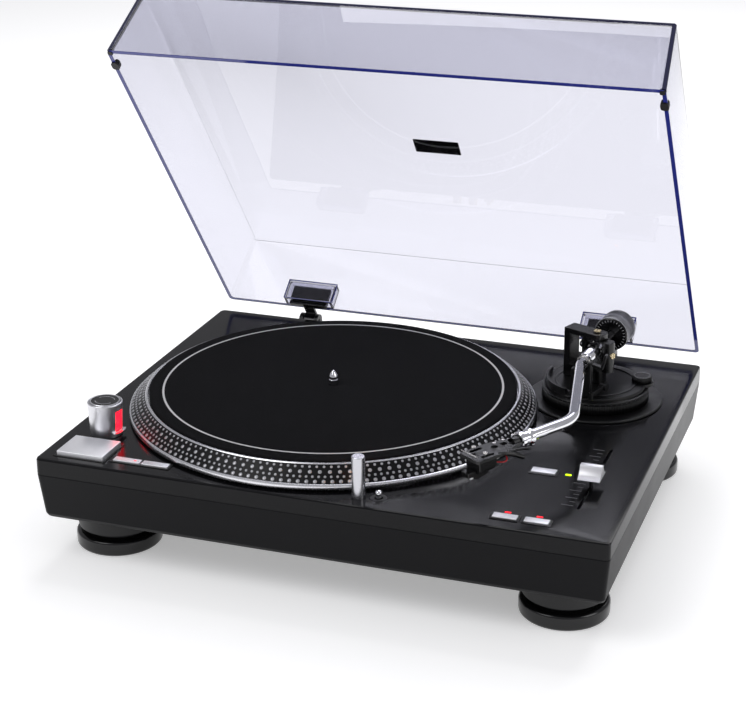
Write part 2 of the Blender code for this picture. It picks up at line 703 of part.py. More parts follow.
def target_light(root):
    x, y = light_place()
    axis = axis_empty("target_light_axis", (x, y, 0), root)
    radius, foot = LIGHT_RADIUS, -LIGHT_HEIGHT + LIGHT_TRAVEL - 8
    profile = [(0, foot), (radius, foot), (radius, LIGHT_HEIGHT - 0.6), (radius - 0.6, LIGHT_HEIGHT), (0, LIGHT_HEIGHT)]
    aim = math.degrees(math.atan2(PLATTER_PLACE[1] - y, PLATTER_PLACE[0] - x))
    window = moved(slab(box_outline(4, 5, (radius, 0)), LIGHT_HEIGHT - 9, LIGHT_HEIGHT - 3), turn=aim)
    node("target_light", turned(profile, 24), CHROME, axis, cuts=[window])
    low = foot - LIGHT_TRAVEL - 1.5
    bore = radius + RUN
    outer = bore + SOCKET_WALL
    socket = [(0, low - 1), (outer, low - 1), (outer, -DECK_PLATE - SEAT), (bore, -DECK_PLATE - SEAT),
              (bore, low), (0, low)]
    node("target_light_socket", turned(socket, 24), SOFT_BLACK, root, (x, y, 0))
    push = axis_empty("light_release_axis", (*release_place(), 0), root)
    small = RELEASE_RADIUS
    dome = [(0, -6), (small, -6), (small, RELEASE_TOP - 1.4), (small - 0.8, RELEASE_TOP - 0.4), (0, RELEASE_TOP)]
    node("light_release_button", turned(dome, 16), CHROME, push)


# Tonearm base


def arm_point(distance):
    """The tube's centre line: (x, y) and heading at a distance from the pivot, with sharp bends."""
    x, y = 0.0, 0.0
    for angle, length in zip(LEG_ANGLES, LEG_LENGTHS):
        step = min(distance, length)
        x -= step * math.sin(math.radians(angle))
        y -= step * math.cos(math.radians(angle))
        distance -= step
        if distance <= 0:
            break
    return x, y, angle


def arm_base(root):
    """The fixed plate and the height ring, and the pedestal that the ring raises."""
    x, y = ARM_PIVOT
    plate_radius, collar, bore = BASE_PLATE_RADIUS, COLLAR_RADIUS, COLUMN_RADIUS + RUN
    plate = [
        (bore, SEAT), (plate_radius, SEAT), (plate_radius, 1.2), (plate_radius - 0.8, 2), (collar, 2),
        (collar, RING_TOP - 4), (bore, RING_TOP - 4),
    ]
    towards = [near - far for near, far in zip(PLATTER_PLACE, ARM_PIVOT)]
    notch = slab(circle_outline(PLATTER_RADIUS + 2 * RUN, towards, 72), -THROUGH, RING_TOP)
    node("arm_base_plate", turned(plate, 40), GLOSS_BLACK, root, (x, y, 0), cuts=[notch])
    ring_axis = axis_empty("height_ring_axis", (x, y, 0), root)
    outer, inner = RING_RADIUS, COLLAR_RADIUS + RUN
    ring = [
        (inner, RING_BOTTOM), (outer - 1, RING_BOTTOM), (outer, RING_BOTTOM + 1), (outer, RING_TOP - 1),
        (outer - 1, RING_TOP), (inner, RING_TOP),
    ]
    node("height_ring", turned(ring, 40), SOFT_BLACK, ring_axis)
    pedestal_axis = axis_empty("pedestal_axis", (x, y, 0), root)
    pedestal(pedestal_axis)
    gimbal_frame(pedestal_axis)
    anti_skate(pedestal_axis)
    cueing(pedestal_axis)
    arm_rest(pedestal_axis)
    return pedestal_axis


def pedestal(axis):
    low, top = RING_TOP + SEAT, PEDESTAL_TOP
    profile = [
        (COLUMN_RADIUS - 4, -10), (COLUMN_RADIUS, -10), (COLUMN_RADIUS, low), (PEDESTAL_RADIUS, low),
        (PEDESTAL_RADIUS, top - 1), (PEDESTAL_RADIUS - 1, top), (0, top), (0, low - 3), (COLUMN_RADIUS - 4, low - 3),
    ]
    heading = REST_HEADING + LEG_ANGLES[0]
    foot = arm_place(REST_DISTANCE)
    shelf = moved(slab(box_outline(18, 12), low, top), (*foot, 0), -heading)
    boss = slab(circle_outline(SKATE_RADIUS + 1.4, SKATE_PLACE, 28), low, top)
    screen = slab(arc_outline(SCREEN_RADIUS - 2.5, SCREEN_RADIUS - 0.2, 168, 246, 12), top - 1, SCREEN_TOP)
    lift_hole = slab(circle_outline(LIFT_POST + RUN, lift_place(), 12), low - 8, top + THROUGH)
    joins = [shelf, boss, screen]
    node("arm_pedestal", turned(profile, 36), SOFT_BLACK, axis, joins=joins, cuts=[lift_hole])


def arm_place(distance):
    """A place on the resting tube's centre line, seen from the pivot in the deck's directions."""
    x, y, _ = arm_point(distance)
    turn = math.radians(-REST_HEADING)
    return (x * math.cos(turn) - y * math.sin(turn), x * math.sin(turn) + y * math.cos(turn))


def gimbal_frame(axis):
    """A C-shaped frame, open on the right: its sill and its head hold the upright pivots."""
    width, middle = FRAME_LEFT + FRAME_RIGHT, (FRAME_RIGHT - FRAME_LEFT) / 2
    rib = FRAME_POST
    floor = PEDESTAL_TOP + SEAT
    post = slab(box_outline(rib, FRAME_DEPTH, (rib / 2 - FRAME_LEFT, 0)), floor, FRAME_TOP)
    sill = slab(rounded_outline(width, FRAME_DEPTH, 5, (middle, 0), steps=4), floor, FRAME_SILL)
    head = slab(rounded_outline(width, FRAME_DEPTH, 5, (middle, 0), steps=4), FRAME_HEAD, FRAME_TOP)
    screw = rod(2.4, (0, 0, FRAME_HEAD + 1), (0, 0, FRAME_TOP + 1.2), 16)
    for mesh in (post, sill, head):
        moved(mesh, turn=FRAME_ANGLE)
    node("gimbal_frame", post, GLOSS_BLACK, axis, joins=[sill, head, screw])


def anti_skate(axis):
    x, y = SKATE_PLACE
    knob_axis = axis_empty("anti_skate_axis", (x, y, 0), axis)
    radius, low, high = SKATE_RADIUS, PEDESTAL_TOP + SEAT, SKATE_TOP
    profile = [(0, low), (radius, low), (radius, high - 0.6), (radius - 0.6, high), (0, high)]
    node("anti_skate_knob", turned(profile, 28), SOFT_BLACK, knob_axis)


def lift_place():
    """The lift's post stands under the middle of its arc."""
    angle = math.radians(270 - sum(LIFT_HEADINGS) / 2)
    return (LIFT_RADIUS * math.cos(angle), LIFT_RADIUS * math.sin(angle))


def tube_height(distance):
    return PIVOT_HEIGHT - distance * math.sin(math.radians(REST_TILT))


def cueing(axis):
    """The lever on the right and the curved lift under the tube."""
    top = tube_height(LIFT_RADIUS) - HUB_RADIUS - LIFT_GAP
    lift_axis = axis_empty("cue_lift_axis", (0, 0, 0), axis)
    start, end = LIFT_HEADINGS
    arc = arc_outline(LIFT_RADIUS - 1.4, LIFT_RADIUS + 1.4, 270 - end, 270 - start, 8)
    x, y = lift_place()
    post = rod(LIFT_POST, (x, y, RING_TOP - 2), (x, y, top - 1), 12)
    node("cue_lift", slab(arc, top - 2.4, top), SOFT_BLACK, lift_axis, joins=[post])
    height = PEDESTAL_TOP + 5
    lever_axis = axis_empty("cue_lever_axis", (*LEVER_PLACE, height), axis, (0, 0, LEVER_ANGLE))
    hub = rod(3.2, (-3, 0, 0), (3, 0, 0), 16)
    arm = slab(box_outline(3, LEVER_LENGTH, (0, -LEVER_LENGTH / 2)), -1.4, 1.4)
    knob = rod(2.2, (0, -LEVER_LENGTH, -4), (0, -LEVER_LENGTH, 2), 12)
    node("cue_lever", hub, SOFT_BLACK, lever_axis, joins=[arm, knob])


def arm_rest(axis):
    """The forked rest that holds the parked tube, and the clip that closes over it."""
    x, y = arm_place(REST_DISTANCE)
    heading = REST_HEADING + LEG_ANGLES[0]
    middle = tube_height(REST_DISTANCE)
    floor = middle - TUBE_RADIUS - REST_GAP
    slot = TUBE_RADIUS + 1.4
    prong = slot + 2.6
    low = PEDESTAL_TOP + SEAT
    post = slab(box_outline(2 * prong, 6), low, middle + 2)
    gap = slab(box_outline(2 * slot, 8), floor, middle + 4)
    lip_top = middle - TUBE_RADIUS - RUN  # low enough for the arm to swing out over it
    way_out = slab(box_outline(2 * prong, 8, (-prong, 0)), lip_top, middle + 4)
    holder = moved(post, turn=-heading)
    cuts = [moved(gap, turn=-heading), moved(way_out, turn=-heading)]
    node("arm_rest", holder, SOFT_BLACK, axis, (x, y, 0), cuts=cuts)
    side = axis_empty("arm_clip_side", (x, y, 0), axis, (0, 0, -heading))
    hinge = axis_empty("arm_clip_axis", (prong + 2.1, 0, middle), side, (0, CLIP_OPEN_ANGLE, 0))
    half, over = 1.2, TUBE_RADIUS + 1.6
    tip = -prong - 4
    hook = [(half, -half), (half, over + 2), (tip, over + 2), (tip, over), (-half, over), (-half, -half)]
    body = loft([[(px, py, pz) for px, pz in hook] for py in (-2.5, 2.5)], "clip")
    node("arm_clip", body, SOFT_BLACK, hinge)


# Tonearm


def filleted(points, radius, steps=6):
    """A path with its inner corners turned into arcs."""
    path = [points[0]]
    for before, corner, after in zip(points, points[1:], points[2:]):
        corner_point = Vector(corner)
        arriving = (corner_point - Vector(before)).normalized()
        leaving = (Vector(after) - corner_point).normalized()
        turn = arriving.angle_signed(leaving)
        setback = radius * math.tan(abs(turn) / 2)
        start = corner_point - arriving * setback
        side = Vector((arriving.y, -arriving.x)) * math.copysign(radius, turn)
        centre = start + side
        for step in range(steps + 1):
            swung = Matrix.Rotation(-turn * step / steps, 2) @ -side
            path.append(tuple(centre + swung))
    return path + [points[-1]]


def shell_front():
    return sum(LEG_LENGTHS)


def tonearm(pedestal_axis):
    swing_turn = -REST_HEADING - OFFSET_ANGLE
    swing = axis_empty("arm_swing_axis", (0, 0, PIVOT_HEIGHT), pedestal_axis, (0, 0, swing_turn))
    pivot_block(swing)
    tilt = REST_TILT / math.cos(math.radians(OFFSET_ANGLE))
    lift = axis_empty("arm_lift_axis", (0, 0, 0), swing, (tilt, 0, 0))
    line = axis_empty("arm_line", (0, 0, 0), lift, (0, 0, OFFSET_ANGLE))
    arm_tube(line)
    headshell(line)
    counterweight(line)


def pivot_block(swing):
    """The block that turns on the upright pivots, with a post on each side of the tube."""
    low, high = FRAME_SILL + SEAT - PIVOT_HEIGHT, FRAME_HEAD - SEAT - PIVOT_HEIGHT
    base = slab(circle_outline(BLOCK_RADIUS, segments=32), low, low + 3)
    across = BLOCK_GAP + BLOCK_POST_RADIUS
    right_post = slab(circle_outline(BLOCK_POST_RADIUS, (across, 0), 24), low, high)
    left_post = slab(box_outline(4, 9, (-BLOCK_GAP - 3, 0)), low, high)
    bridge = slab(box_outline(2 * BLOCK_GAP + 8, 8), high - 2.4, high)
    housing = rod(3.2, (-BLOCK_GAP - 2, 0, 0), (-BLOCK_GAP - 9, 0, 0), 16)
    joins = [right_post, left_post, bridge, housing]
    node("pivot_block", base, CHROME, swing, joins=joins)


def arm_tube(line):
    """The bent tube, its nose at the pivot, and the stub behind for the counterweight."""
    end = shell_front() - SHELL_LENGTH - COLLAR_LENGTH / 2
    bends = [sum(LEG_LENGTHS[:1]), sum(LEG_LENGTHS[:2])]
    corners = [arm_point(distance)[:2] for distance in [NOSE_END, *bends, end]]
    front_part = filleted(corners, BEND_RADIUS)
    angle = math.radians(LEG_ANGLES[0])
    half = HUB_LENGTH / 2
    stations = [(-STUB_LENGTH, STUB_RADIUS), (-half - 1, STUB_RADIUS), (-half, HUB_RADIUS)]
    stations += [(NOSE_END - 4, HUB_RADIUS), (NOSE_END - 3, TUBE_RADIUS)]
    path = [(-distance * math.sin(angle), -distance * math.cos(angle)) for distance, _ in stations]
    radii = [radius for _, radius in stations] + [TUBE_RADIUS] * len(front_part)
    reach = BLOCK_GAP - RUN
    axle = rod(3, (-reach, 0, 0), (reach, 0, 0), 16)
    axle.transform(Matrix.Rotation(math.radians(-OFFSET_ANGLE), 4, "Z"))
    hollow = [*front_part, arm_point(end + THROUGH)[:2]]
    bore = sweep(hollow, [TUBE_RADIUS - TUBE_WALL] * len(hollow))
    tube = sweep(path + front_part, radii)
    node("arm_tube", tube, CHROME, line, joins=[axle], cuts=[bore])


def headshell(line):
    x, y, angle = arm_point(shell_front())
    seat = axis_empty("headshell_seat", (x, y, 0), line, (0, 0, -angle))
    long, half, thick = SHELL_LENGTH, SHELL_HALF_WIDTH, SHELL_THICKNESS
    side = [(half - 0.8, 0), (half, 1.5), (half, long * 0.52), (half * 0.6, long * 0.88), (half * 0.5, long)]
    outline = side + [(-x_side, y_side) for x_side, y_side in reversed(side)]
    plate = slab(outline, -thick / 2, thick / 2)
    stem = rod(4.2, (0, long - 6, 0), (0, long + COLLAR_LENGTH / 2 - 1, 0), 16)
    finger = sweep([(half - 3, 20), (half - 2, 28), (half, 36), (half + 3, 43), (half + 5, 46)],
                   [thick / 2] * 5, 8)
    slots = [slab(rounded_outline(3, 12, 1.4, (side_x * 6.35, 12.5), steps=2), -3, 3) for side_x in (-1, 1)]
    holes = [slab(rounded_outline(4.6, 6, 2.2, (-1.5, 26 + 8.5 * step), steps=2), -3, 3) for step in range(3)]
    node("headshell", plate, SOFT_BLACK, seat, joins=[stem, finger], cuts=slots + holes)
    top = -thick / 2 - SEAT
    start, (wide, deep) = CARTRIDGE_START, CARTRIDGE_SIZE
    body = loft([
        [(px, py, z) for px, py in box_outline(width, length, (0, start + length / 2))]
        for z, width, length in ((-11.5, wide - 4, deep - 2), (-9, wide, deep), (top, wide, deep))
    ], "cartridge")
    node("cartridge", body, GLOSS_BLACK, seat)
    nose, heel = start - 7.6, start + deep - 5
    grip = [(heel, -11.5 - SEAT), (heel, -14), (start + 0.6, -STYLUS_DROP), (nose, -13.4), (nose, -9.4),
            (start - 0.4, -9.4), (start - 0.4, -11.5 - SEAT)]
    node("stylus", extruded_side(grip, -4, 4), SOFT_BLACK, seat)
    collar_start = long + SEAT
    turn_axis = axis_empty("arm_collar_axis", (0, 0, 0), seat)
    inner, outer = TUBE_RADIUS + RUN, TUBE_RADIUS + 2.3
    ring = [(inner, 0), (outer - 0.8, 0), (outer, 1), (outer, 4), (outer - 1, 5), (outer - 1, COLLAR_LENGTH - 3),
            (outer, COLLAR_LENGTH - 2), (outer, COLLAR_LENGTH), (inner, COLLAR_LENGTH)]
    collar = turned(ring, 24)
    collar.transform(Matrix.Translation(metres((0, collar_start, 0))) @ Matrix.Rotation(-math.pi / 2, 4, "X"))
    node("arm_collar", collar, BRUSHED, turn_axis)


def along_stub(profile, segments):
    """A turned shape laid along the rear stub, its height running back from the pivot."""
    mesh = turned(profile, segments)
    lay_back = Matrix.Rotation(-math.pi / 2, 4, "X")
    mesh.transform(Matrix.Rotation(math.radians(-LEG_ANGLES[0]), 4, "Z") @ lay_back)
    return mesh


def counterweight(line):
    travel = axis_empty("weight_travel_axis", (0, 0, 0), line)
    start, end = WEIGHT_FRONT, WEIGHT_FRONT + WEIGHT_LENGTH
    bore, sleeve = STUB_RADIUS + RUN, SLEEVE_RADIUS
    tube = [(bore, start + 2), (sleeve, start + 2), (sleeve, end - 2), (bore, end - 2)]
    node("weight_sleeve", along_stub(tube, 20), SOFT_BLACK, travel)
    turn_axis = axis_empty("counterweight_axis", (0, 0, 0), travel)
    radius, hole = WEIGHT_RADIUS, SLEEVE_RADIUS + RUN
    weight = [(hole, start), (radius - 0.6, start), (radius, start + 0.6), (radius, end - 1.5),
              (radius - 1.5, end), (hole, end)]
    node("counterweight", along_stub(weight, 36), STEEL, turn_axis)
    dial_axis = axis_empty("force_dial_axis", (0, 0, 0), turn_axis)
    dial_start = start - SEAT - DIAL_LENGTH
    dial = [(bore, dial_start), (radius - 1.2, dial_start), (radius - 0.2, dial_start + 1),
            (radius - 0.2, start - SEAT), (bore, start - SEAT)]
    node("force_dial", along_stub(dial, 36), SOFT_BLACK, dial_axis)


# Dust cover


def lid_ring(height, inset):
    """An outline of the closed cover, seen from the hinge axis."""
    centre_y = back(LID_DEPTH / 2)
    outline = inset_outline(inset, centre_y, LID_WIDTH, LID_DEPTH, LID_CORNER)
    return [(x, y - HINGE_AXIS[1], height - HINGE_AXIS[2]) for x, y in outline]


def lid(root):
    axis = axis_empty("lid_axis", HINGE_AXIS, root, (-LID_OPEN_ANGLE, 0, 0))
    low, high = LID_RIM, LID_RIM + LID_HEIGHT
    body = loft([
        lid_ring(high, LID_DRAFT + 1.3), lid_ring(high - 1.3, LID_DRAFT), lid_ring(low, 0),
        lid_ring(low, LID_WALL), lid_ring(high - LID_WALL, LID_DRAFT + LID_WALL),
    ], "lid")
    pocket_width, pocket_depth, pocket_height = POCKET_SIZE
    face = back(LID_WALL) + 1
    pocket_middle = face - pocket_depth / 2 - HINGE_AXIS[1]
    blade_middle = face - pocket_depth / 2 - 0.5 - HINGE_AXIS[1]
    base = low - HINGE_AXIS[2]
    blade_width, blade_thick, blade_height = BLADE_SIZE
    pockets, slots = [], []
    for side in (-1, 1):
        x = side * HINGE_SPREAD / 2
        pockets.append(slab(box_outline(pocket_width, pocket_depth, (x, pocket_middle)), base, base + pocket_height))
        slots.append(slab(box_outline(blade_width + 2 * SEAT, blade_thick + 2 * SEAT, (x, blade_middle)),
                          base - THROUGH, base + blade_height + SEAT))
        name = "left" if side < 0 else "right"
        lid_leaf(f"lid_leaf_{name}", x, blade_middle, base, axis)
        hinge_bracket(f"hinge_bracket_{name}", x, root)
    node("lid", body, ACRYLIC, axis, joins=pockets, cuts=slots)


def lid_leaf(name, x, blade_middle, base, axis):
    """The blade in the cover's pocket, and its arm down to the hinge barrel."""
    width, thick, height = BLADE_SIZE
    bar_top, bar_low = base - 0.6, HINGE_BELOW + 0.8
    half = BARREL_WIDTH / 2
    blade = slab(box_outline(width, thick, (x, blade_middle)), bar_low, base + height)
    neck = slab(box_outline(BARREL_WIDTH, 4 - blade_middle, (x, blade_middle / 2 + 2)), bar_low, bar_top)
    web = slab(box_outline(BARREL_WIDTH, 9, (x, -0.5)), 0, bar_top)
    barrel = rod(BARREL_RADIUS, (x - half, 0, 0), (x + half, 0, 0))
    bore = rod(PIN_RADIUS + RUN, (x - half - THROUGH, 0, 0), (x + half + THROUGH, 0, 0), 16)
    node(name, blade, SOFT_BLACK, axis, joins=[neck, web, barrel], cuts=[bore])


def hinge_bracket(name, x, root):
    """The plate on the case's rear wall, with two ears and the pin between them."""
    inner, outer = BARREL_WIDTH / 2 + SEAT, BARREL_WIDTH / 2 + 4
    plate_front = SEAT - HINGE_BEHIND
    low = -CASE_HEIGHT + HINGE_BELOW + 6
    top = -EAR_RADIUS - 0.5
    plate = slab(box_outline(28, 3, (x, plate_front + 1.5)), low, top)
    joins = []
    for side in (-1, 1):
        ends = (x + side * inner, x + side * outer)
        joins.append(extruded_side([(plate_front + 0.5, low + 8), (plate_front + 0.5, top),
                                    (-EAR_RADIUS * 0.9, 0), (EAR_RADIUS * 0.9, 0), (EAR_RADIUS * 0.6, -14)], *ends))
        joins.append(rod(EAR_RADIUS, (ends[0], 0, 0), (ends[1], 0, 0), 24))
    pin = rod(PIN_RADIUS, (x - outer - 0.8, 0, 0), (x + outer + 0.8, 0, 0), 16)
    node(name, plate, SOFT_BLACK, root, HINGE_AXIS, joins=[*joins, pin])


# The whole


def origin_shift():
    """How far the deck's middle lies in front of the middle of the whole, cover open."""
    angle = math.radians(LID_OPEN_ANGLE)
    corner_y = back(LID_DRAFT + 1.3) - HINGE_AXIS[1]
    corner_z = LID_RIM + LID_HEIGHT - HINGE_AXIS[2]
    reach = HINGE_AXIS[1] + corner_y * math.cos(angle) + corner_z * math.sin(angle)
    return (front(0) + reach) / 2


def main():
    for item in list(bpy.data.objects):
        bpy.data.objects.remove(item, do_unlink=True)
    root = axis_empty("turntable", (0, -origin_shift(), -GROUND))
    top_cover(root)
    bottom_case(root)
    feet(root)
    platter(root)
    motor(root)
    electronics(root)
    rear_connections(root)
    power_tower(root)
    buttons(root)
    pitch_fader(root)
    target_light(root)
    tonearm(arm_base(root))
    lid(root)


main()
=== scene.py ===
"""A direct-drive turntable with its clear cover standing open: the looks of every piece."""

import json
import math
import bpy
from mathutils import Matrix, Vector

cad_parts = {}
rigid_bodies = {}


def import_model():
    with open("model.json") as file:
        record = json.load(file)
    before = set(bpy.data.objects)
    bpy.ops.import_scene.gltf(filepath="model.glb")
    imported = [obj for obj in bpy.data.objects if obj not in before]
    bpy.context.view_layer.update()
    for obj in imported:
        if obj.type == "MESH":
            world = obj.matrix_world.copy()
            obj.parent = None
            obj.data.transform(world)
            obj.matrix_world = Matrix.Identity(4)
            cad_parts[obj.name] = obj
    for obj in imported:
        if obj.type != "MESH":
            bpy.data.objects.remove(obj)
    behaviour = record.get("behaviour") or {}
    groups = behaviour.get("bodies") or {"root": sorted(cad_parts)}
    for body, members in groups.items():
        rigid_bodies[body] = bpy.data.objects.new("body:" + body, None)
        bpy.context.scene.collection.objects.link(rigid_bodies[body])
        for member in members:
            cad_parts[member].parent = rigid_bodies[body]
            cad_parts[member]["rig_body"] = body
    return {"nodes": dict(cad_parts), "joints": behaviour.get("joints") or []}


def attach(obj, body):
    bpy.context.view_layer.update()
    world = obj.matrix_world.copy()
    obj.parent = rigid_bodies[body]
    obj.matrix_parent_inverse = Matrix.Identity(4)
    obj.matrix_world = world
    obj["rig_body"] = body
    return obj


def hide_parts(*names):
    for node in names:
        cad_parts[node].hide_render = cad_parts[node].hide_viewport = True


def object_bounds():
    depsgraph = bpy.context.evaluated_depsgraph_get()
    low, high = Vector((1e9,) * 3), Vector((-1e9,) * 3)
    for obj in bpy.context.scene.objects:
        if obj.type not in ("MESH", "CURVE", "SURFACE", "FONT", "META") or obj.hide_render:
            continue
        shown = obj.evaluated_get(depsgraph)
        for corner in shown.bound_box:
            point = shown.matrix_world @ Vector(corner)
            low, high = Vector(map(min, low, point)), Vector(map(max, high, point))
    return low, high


bl_info = {
    "name": "Direct-Drive Turntable",
    "version": (1, 0, 0),
    "blender": (4, 5, 0),
    "location": "View3D > Sidebar > Turntable",
    "description": "Builds the finished pieces of a direct-drive turntable round its CAD frame",
    "category": "Object",
}

import bmesh
import bpy
from bpy.props import FloatProperty, FloatVectorProperty, IntProperty, PointerProperty, StringProperty
from mathutils import Matrix, Vector

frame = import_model()
CAD_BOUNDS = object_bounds()
JOINTS = {joint["name"]: joint for joint in frame["joints"]}
MM = 0.001

DECK_DEPTH = 355  # front to back, mm
CAMERA_PLACE = (0.4564, -1.3118, 0.5885)  # from the middle of the deck's top, metres
LENS_SHIFT = (-0.0147, -0.0342)
FADER_UNDERSIDE = 7.8  # of the fader's cap, above the deck, mm
PITCH_SCALE = 102.0  # from the first tick to the last, mm
SHARP_ANGLE = 32  # edges turning by more stay sharp, degrees
MAT_HOLE = 3.9  # its radius, mm
COVER_CORNER = 4  # radius of the cover's upright edges, mm
CROWN_EDGE = 1.3  # radius round the cover's top, mm


# Sizes and colours that a user would change


class CaseSettings(bpy.types.PropertyGroup):
    enamel: StringProperty(name="Deck enamel", description="Colour of the deck", default="#0e0e10")
    moulding: StringProperty(name="Case moulding", description="Colour of the case", default="#121214")
    edge: FloatProperty(name="Broken edge", description="Width of small edges, mm", default=0.5, min=0.05)


class PlatterSettings(bpy.types.PropertyGroup):
    felt: StringProperty(name="Felt", description="Colour of the mat", default="#141415")
    ring_radius: FloatProperty(name="Printed ring", description="Radius on the mat, mm", default=138.0)
    ring_width: FloatProperty(name="Ring width", description="Width of the ring, mm", default=1.7)
    dot_height: FloatProperty(name="Dot height", description="How far a dot stands out, mm", default=0.5)


class ControlSettings(bpy.types.PropertyGroup):
    red: StringProperty(name="Red light", description="Colour of the red lamps", default="#ff1226")
    green: StringProperty(name="Green light", description="Colour of the pitch lamp", default="#c8ff00")
    warm: StringProperty(name="Target light", description="Colour of the target lamp", default="#ffb060")
    tick_count: IntProperty(name="Pitch ticks", description="Ticks beside the fader", default=17, min=3)


class ArmSettings(bpy.types.PropertyGroup):
    leg_angles: FloatVectorProperty(
        name="Leg angles", description="Left of the pivot-to-stylus line, degrees", size=3,
        default=(-2.4, -20.0, 23.0),
    )
    leg_lengths: FloatVectorProperty(
        name="Leg lengths", description="To the bends and the headshell's front, mm", size=3,
        default=(36.2, 111.4, 104.3),
    )
    bend_radius: FloatProperty(name="Bend radius", description="Of the tube's middle, mm", default=32.0)
    tube_radius: FloatProperty(name="Tube radius", description="Outside radius, mm", default=4.3)
    knurls: IntProperty(name="Ring knurls", description="Ribs round the height ring", default=200, min=12)


class CoverSettings(bpy.types.PropertyGroup):
    tint: StringProperty(name="Acrylic tint", description="Colour of the clear walls", default="#dcdce5")
    edge: StringProperty(name="Edge colour", description="Colour of the cut edges", default="#2c3384")
    deep_edge: StringProperty(name="Deep edge", description="Colour of the front corners", default="#15163e")
    wall: FloatProperty(name="Wall", description="Thickness of the acrylic, mm", default=3.0, min=1.0)


class StageSettings(bpy.types.PropertyGroup):
    azimuth: FloatProperty(name="Azimuth", description="Of the camera, degrees", default=19.274)
    elevation: FloatProperty(name="Elevation", description="Of the camera, degrees", default=20.362)
    roll: FloatProperty(name="Roll", description="Of the camera, degrees", default=-0.288)
    lens: FloatProperty(name="Lens", description="Focal length, mm", default=89.285, min=10)


SETTINGS = {
    "turntable_case": CaseSettings,
    "turntable_platter": PlatterSettings,
    "turntable_controls": ControlSettings,
    "turntable_arm": ArmSettings,
    "turntable_cover": CoverSettings,
    "turntable_stage": StageSettings,
}


# Places, read from the CAD frame


def joint_place(name):
    """A joint's point, in millimetres."""
    return Vector(JOINTS[name]["pos_m"]) / MM


def mm_box(node, into=None):
    """The lowest and highest corner of a CAD node in millimetres, in the frame that into maps to."""
    points = [vertex.co / MM for vertex in frame["nodes"][node].data.vertices]
    if into is not None:
        points = [into @ point for point in points]
    lowest = Vector([min(point[axis] for point in points) for axis in range(3)])
    highest = Vector([max(point[axis] for point in points) for axis in range(3)])
    return lowest, highest


def middle(node, into=None):
    lowest, highest = mm_box(node, into)
    return (lowest + highest) / 2


def frame_of(origin, x_axis, y_axis, z_axis):
    """A matrix from local millimetres to the row's millimetres."""
    columns = Matrix((x_axis, y_axis, z_axis)).transposed().to_4x4()
    return Matrix.Translation(origin) @ columns


def arm_frames():
    """The arm's frame, its -Y towards the headshell, and the headshell's own frame."""
    pivot, seat = joint_place("arm_lift"), joint_place("collar_turn")
    level = -Vector(JOINTS["arm_lift"]["axis"])
    back = (pivot - seat).normalized()
    up = level.cross(back).normalized()
    shell_back = Vector(JOINTS["collar_turn"]["axis"]).normalized()
    arm = frame_of(pivot, back.cross(up), back, up)
    shell = frame_of(seat, shell_back.cross(up), shell_back, up)
    return arm, shell


def stub_frame():
    """The rear stub's frame: Z runs along it from the pivot."""
    along = Vector(JOINTS["weight_turn"]["axis"]).normalized()
    side = along.cross(Vector((0, 0, 1))).normalized()
    return frame_of(joint_place("weight_turn"), side, along.cross(side), along)


def cover_frame():
    """From the closed cover's place to where it stands open, in millimetres."""
    hinge = JOINTS["lid_hinge"]
    swing = Matrix.Rotation(math.radians(-hinge["range_deg"][0]), 4, Vector(hinge["axis"]))
    place = Matrix.Translation(joint_place("lid_hinge"))
    return place @ swing @ place.inverted()


# Materials


def linear(hex_colour, alpha=1.0):
    """An sRGB hex colour as linear RGBA."""
    value = int(hex_colour.lstrip("#"), 16)
    channels = [((value >> shift) & 255) / 255 for shift in (16, 8, 0)]
    return (*[c / 12.92 if c <= 0.04045 else ((c + 0.055) / 1.055) ** 2.4 for c in channels], alpha)


def add_node(tree, kind, settings=(), links=()):
    """Adds a node, sets its sockets or properties by name, and links its inputs."""
    made = tree.nodes.new(kind)
    for name, value in dict(settings).items():
        if isinstance(name, str) and hasattr(made, name):
            setattr(made, name, value)
        else:
            made.inputs[name].default_value = value
    for name, source in dict(links).items():
        tree.links.new(source, made.inputs[name])
    return made


def shader_of(finish):
    return finish.node_tree.nodes["Principled BSDF"]


def finish_named(name, colour, roughness, metallic=0.0, sockets=()):
    """A new material, or the one already made under this name, and whether it is new."""
    found = bpy.data.materials.get(name)
    if found:
        return found, False
    made = bpy.data.materials.new(name)
    made.use_nodes = True
    shader = shader_of(made)
    shader.inputs["Base Color"].default_value = linear(colour)
    shader.inputs["Roughness"].default_value = roughness
    shader.inputs["Metallic"].default_value = metallic
    for socket, value in dict(sockets).items():
        shader.inputs[socket].default_value = value
    return made, True


def object_place(tree, stretch=(1, 1, 1), centre=(0, 0, 0)):
    """Object coordinates about a centre in millimetres, stretched along each axis."""
    coordinates = add_node(tree, "ShaderNodeTexCoord")
    moved = [-value * MM * scale for value, scale in zip(centre, stretch)]
    return add_node(
        tree, "ShaderNodeMapping", {"Location": moved, "Scale": stretch},
        {"Vector": coordinates.outputs["Object"]},
    ).outputs["Vector"]


def roughen(tree, shader, value, low, high):
    """Lets a 0 to 1 value carry the roughness between two levels."""
    spread = add_node(tree, "ShaderNodeMapRange", {"To Min": low, "To Max": high}, {"Value": value})
    tree.links.new(spread.outputs["Result"], shader.inputs["Roughness"])


def emboss(tree, shader, height, depth_mm, strength=1.0):
    bump = add_node(
        tree, "ShaderNodeBump", {"Strength": strength, "Distance": depth_mm * MM}, {"Height": height},
    )
    tree.links.new(bump.outputs["Normal"], shader.inputs["Normal"])


